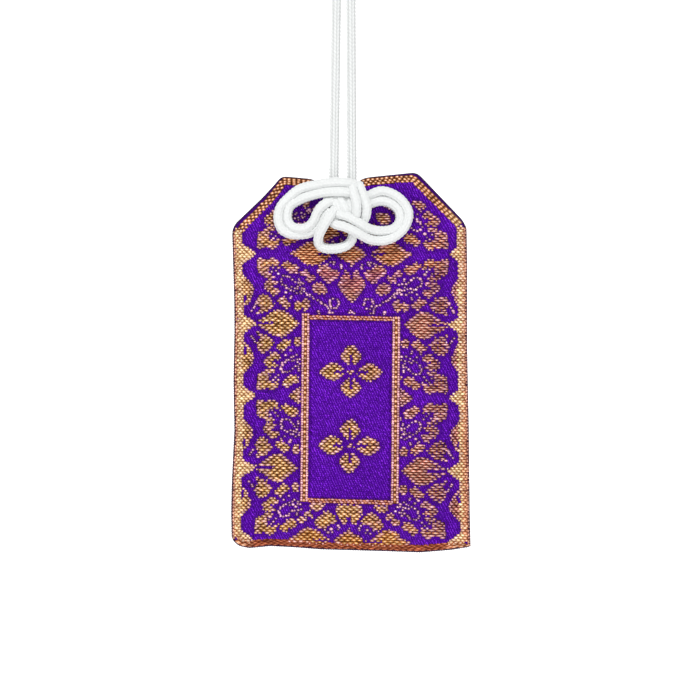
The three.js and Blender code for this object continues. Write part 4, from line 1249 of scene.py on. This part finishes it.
def ground_floats(name, kind, dots, depth, face_y, away, rise=0.06):
    """The ground's own floats, wherever no gold lies."""
    r, c = np.meshgrid(np.arange(int(384 / TWILL_Y)), np.arange(int(262 / TWILL_X)), indexing="ij")
    row = (170 + r * TWILL_Y).ravel()
    px = (224 + c * TWILL_X + (r * TWILL_STEP) % TWILL_X).ravel()
    at_x, py = laid(px, row)
    x, z = to_mm(at_x, py, depth)
    gold_row = np.clip(np.round((row - ROW_0) / LATTICE_Y).astype(int), 0, ROWS - 1)
    gold_col = np.clip(np.round((px - COL_0) / LATTICE_X - 0.5 * (gold_row % 2)).astype(int), 0, COLS - 1)
    free = kind.reshape(ROWS, COLS)[gold_row, gold_col] == NONE
    bar, bar_row = in_frame(at_x, py)

    def on_bars(more):
        within = (bar < FRAME_HALF + more) & (bar_row > FRAME_TOP - more) & (bar_row < FRAME_BOTTOM + more)
        return within & ((bar > FRAME_HALF - FRAME_W - more) | (bar_row < FRAME_TOP + FRAME_H + more) | (bar_row > FRAME_BOTTOM - FRAME_H - more))

    on_frame, by_frame = on_bars(0.5), on_bars(2.6)
    d_slope = np.minimum(edge_distance(x, z, RIGHT_DIAGONAL), edge_distance(x, z, LEFT_DIAGONAL))
    in_band = (d_slope < 2.2) | (edge_distance(x, z, TOP) < 2.0)
    in_band |= (edge_distance(x, z, BOTTOM) < 1.5) | (np.minimum(edge_distance(x, z, LEFT), edge_distance(x, z, RIGHT)) < 0.8)
    keep = free & ~on_frame & ~in_band & inside(x, z, OUTLINE) & (edge_distance(x, z) > 0.35) & ~by_hole(x, z)
    # painted shade: purple floats beside the gold figures, the frame bars and the tendril dots are darkened
    painted_shade_near_dots = np.zeros(len(px))
    for p in dots:
        near_by = np.where((np.abs(px - p[0]) < 4.5) & (np.abs(row - p[1]) < 3.5))[0]
        off = np.hypot(px[near_by] - p[0], 1.25 * (row[near_by] - p[1]))
        painted_shade_near_dots[near_by] = np.maximum(painted_shade_near_dots[near_by], 1 - smoothstep(1.6, 4.2, off))
    painted_shade_near_gold = np.maximum(smoothstep(0, 3, neighbours(kind).reshape(ROWS, COLS)[gold_row, gold_col]), 1.2 * by_frame)
    painted_shade_near_gold = np.maximum(painted_shade_near_gold, painted_shade_near_dots)[keep]
    px, py = at_x[keep], py[keep]
    n = len(px)
    sides = 6
    angle = np.arange(sides) * 2 * math.pi / sides
    grow = 1 + rng.normal(0, 0.1, n)[:, None]
    slant = 0.5
    ox, oy = np.cos(angle) * TWILL_X * 0.42, np.sin(angle) * TWILL_Y * 0.78
    dx = np.concatenate([(ox + slant * oy)[None] * grow, np.zeros((n, 1))], axis=1)
    dy = np.concatenate([oy[None] * grow, np.zeros((n, 1))], axis=1)
    shift = rng.normal(0, 0.26, (n, 2))
    x, y, z = on_cloth((px[:, None] + dx + shift[:, :1]).ravel(), (py[:, None] + dy + shift[:, 1:]).ravel(), face_y)
    up = np.tile(np.concatenate([np.full(sides, 0.008), [rise]]), n)
    y = y - away * up
    # painted shade near the gold, times a random tone per float
    tone_and_painted_light = ((1 - 0.46 * painted_shade_near_gold) * np.exp(rng.normal(0, 0.24, n)))[:, None, None]
    tint = np.concatenate([np.repeat(TWILL_FOOT_SHADE[None, None], sides, axis=1), TWILL_CROWN_HIGHLIGHT[None, None]], axis=1) * tone_and_painted_light
    j = np.arange(sides)
    tris = np.stack([j, (j + 1) % sides, np.full(sides, sides)], axis=1)
    under = np.array([[0, k + 1, k] for k in range(1, sides - 1)])
    tris = np.vstack([tris, under])
    if away < 0:
        tris = tris[:, ::-1]
    base = (np.arange(n) * (sides + 1))[:, None, None]
    return finish_floats(name, np.stack([x, y, z], axis=1), tint.reshape(-1, 3), None, (tris[None] + base).reshape(-1, 3), FLOATS)


# overcast stitches that hold the two cloths together on three sides
def stitches(name, side, spacing=0.36, radius=0.09):
    p = corners_of(side)
    d = np.diff(p, axis=0)
    d /= np.linalg.norm(d, axis=1)[:, None]
    run = np.concatenate([[0], np.cumsum(np.linalg.norm(np.diff(p, axis=0), axis=1))])
    verts, quads, tris, base = [], [], [], 0
    for at in np.arange(0.4, run[-1] - 0.3, spacing):
        k = min(np.searchsorted(run, at) - 1, len(d) - 1)
        foot = np.array([np.interp(at, run, p[:, 0]), np.interp(at, run, p[:, 1])])
        along, inward = d[k], np.array([d[k][1], -d[k][0]])
        path = []
        for t, (into, side) in enumerate(((0.4, "f"), (0.26, "f"), (0.1, "f"), (-0.03, 0.95), (-0.06, 1.6), (-0.03, 2.2), (0.12, "b"), (0.3, "b"), (0.46, "b"))):
            q = foot + inward * into + along * (0.24 * (t / 8 - 0.5) + rng.normal(0, 0.008))
            if side == "f":
                y = float(front_y(q[:1], q[1:], np.array([max(into, 0)]))[0]) - 0.1
            elif side == "b":
                y = float(back_y(q[:1], q[1:], np.array([max(into, 0)]))[0]) + 0.08
            else:
                y = side
            path.append((q[0], y, q[1]))
        path = np.array(path)
        tangent = np.gradient(path, axis=0)
        tangent /= np.linalg.norm(tangent, axis=1)[:, None]
        side_v = np.tile(np.array([along[0], 0, along[1]]), (len(path), 1))
        side_v -= tangent * np.sum(side_v * tangent, axis=1)[:, None]
        side_v /= np.linalg.norm(side_v, axis=1)[:, None]
        up_v = np.cross(tangent, side_v)
        m = 6
        a = np.arange(m) * 2 * math.pi / m
        thick = np.full(len(path), radius)
        thick[[0, -1]] *= 0.5
        ring = path[:, None] + thick[:, None, None] * (np.cos(a)[None, :, None] * side_v[:, None] + np.sin(a)[None, :, None] * up_v[:, None])
        i, j = np.meshgrid(np.arange(len(path) - 1), np.arange(m), indexing="ij")
        q0, q1 = i * m + j, i * m + (j + 1) % m
        verts.append(ring.reshape(-1, 3))
        quads.append(np.stack([q0, q1, q1 + m, q0 + m], axis=-1).reshape(-1, 4) + base)
        last = (len(path) - 1) * m
        tris.append(np.array([[0, k + 1, k] for k in range(1, m - 1)] + [[last, last + k, last + k + 1] for k in range(1, m - 1)]) + base)
        base += len(path) * m
    piece = build(name, np.vstack(verts), np.vstack(quads), np.vstack(tris), THREAD)
    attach(piece, "pouch")
    return piece


for side, face_y, away, depth, marks in (
    ("front", front_y, 1, -1.2, True),
    ("back", back_y, -1, 2.6, False),
):
    cloth = ground(f"{side}_ground", face_y, away)
    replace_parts(cloth, f"{side}_panel")
    px, row = lattice()
    kind, _, _ = covered(px, row, depth, marks)
    edge = edge_floats(depth)
    bars = frame_floats()
    dots = tendrils(kind, depth)
    for group, kinds in (("border", (BORDER, LOBE)), ("figures", (FIGURE,)), *((("flowers", (MARK,)),) if marks else ())):
        step = FLOAT_X[kinds[0]]
        px, row = lattice(step)
        what, middle, share = covered(px, row, depth, marks, step)
        pick = np.isin(what, kinds)
        at = laid(px[pick] + middle[pick, 0], row[pick] + middle[pick, 1])
        weft(f"{side}_gold_{group}", *at, row[pick], np.arctan(tilt(row[pick])), what[pick], neighbours(what)[pick],
                           face_y, away, share=share[pick])
    at_x = bars[:, 0] + frame_lean(bars[:, 1])
    lean = frame_tilt(bars[:, 1])
    weft(f"{side}_gold_frame", at_x, bars[:, 1] + lean * (at_x - AXIS), bars[:, 1], np.arctan(lean), bars[:, 2].astype(int),
                       np.full(len(bars), 6), face_y, away, pale=bars[:, 3])
    weft(f"{side}_gold_tendrils", *laid(dots[:, 0], dots[:, 1]), dots[:, 1], np.arctan(tilt(dots[:, 1])), np.full(len(dots), DOT),
                       np.full(len(dots), 6), face_y, away)
    weft(f"{side}_gold_bands", edge[:, 0], edge[:, 1], edge[:, 1], edge[:, 2], edge[:, 4].astype(int),
                       np.full(len(edge), 6), face_y, away, lie=edge[:, 3])
    ground_floats(f"{side}_purple_floats", kind, dots, depth, face_y, away)

for side in ("right", "bottom", "left"):
    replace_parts(stitches(f"{side}_seam_stitches", side), f"{side}_seam_thread")

# the parts inside keep their CAD shape
for names, material, slot in (
    (("front_interfacing", "back_interfacing"), felted_cloth(), "interfacing"),
    (("core_card",), grey_board(), "card"),
    (("talisman_board",), plain_wood(), "talisman_wood"),
    (("talisman_wrapper",), plain_paper(), "talisman_paper"),
):
    for name in names:
        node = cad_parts[name]
        node.data.materials.clear()
        node.data.materials.append(material)

# --------------------------------------------------------- floor and lights
FLOOR_Z = -200.0
n = Nodes("pale_floor")
n.colour(n.ramp(n.noise(n.place(), 0.02, 2), (0.3, (0.9, 0.9, 0.9)), (0.7, (0.94, 0.94, 0.94))))
n.set(Roughness=0.9, Specular_IOR_Level=0.1, Emission_Color=(1, 1, 1, 1), Emission_Strength=0.2)
r = 1500.0
angles = np.linspace(0, 2 * math.pi, 96, endpoint=False)
disc = np.vstack([np.stack([r * np.cos(angles), r * np.sin(angles), np.full(96, FLOOR_Z)], axis=1), [[0, 0, FLOOR_Z]]])
j = np.arange(96)
floor = build("floor", disc, None, np.stack([np.full(96, 96), j, (j + 1) % 96], axis=1), n.material)
floor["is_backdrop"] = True

n = Nodes("pale_backdrop")
n.colour(n.ramp(n.noise(n.place(), 0.01, 2), (0.3, (0.92, 0.92, 0.92)), (0.7, (0.95, 0.95, 0.95))))
n.set(Roughness=0.9, Specular_IOR_Level=0.05, Emission_Color=(1, 1, 1, 1), Emission_Strength=0.6)
arc = np.linspace(math.radians(35), math.radians(145), 48)
wall = np.vstack([np.stack([1450 * np.cos(arc), 1450 * np.sin(arc), np.full(48, h)], axis=1) for h in (FLOOR_Z, 1200.0)])
j = np.arange(47)
backdrop = build("backdrop", wall, np.stack([j + 1, j, j + 48, j + 49], axis=1), None, n.material)
backdrop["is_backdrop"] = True

world = bpy.data.worlds.new("studio")
world.use_nodes = True
world.node_tree.nodes["Background"].inputs["Color"].default_value = (1, 1, 1, 1)
world.node_tree.nodes["Background"].inputs["Strength"].default_value = 0.64
bpy.context.scene.world = world


def softbox(name, at, size, power):
    lamp = bpy.data.lights.new(name, "AREA")
    lamp.shape = "RECTANGLE"
    lamp.size, lamp.size_y = size
    lamp.energy = power
    thing = bpy.data.objects.new(name, lamp)
    bpy.context.scene.collection.objects.link(thing)
    thing.location = at
    from mathutils import Vector
    thing.rotation_euler = (Vector((0.001, 0, -0.085)) - Vector(at)).to_track_quat("-Z", "Y").to_euler()


softbox("key", (-0.24, -0.62, 0.74), (0.26, 0.26), 5.4)
softbox("fill", (0.5, -0.75, 0.05), (0.6, 0.6), 1.4)
softbox("back", (0.2, 0.8, 0.4), (0.6, 0.6), 2.4)

low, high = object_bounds()
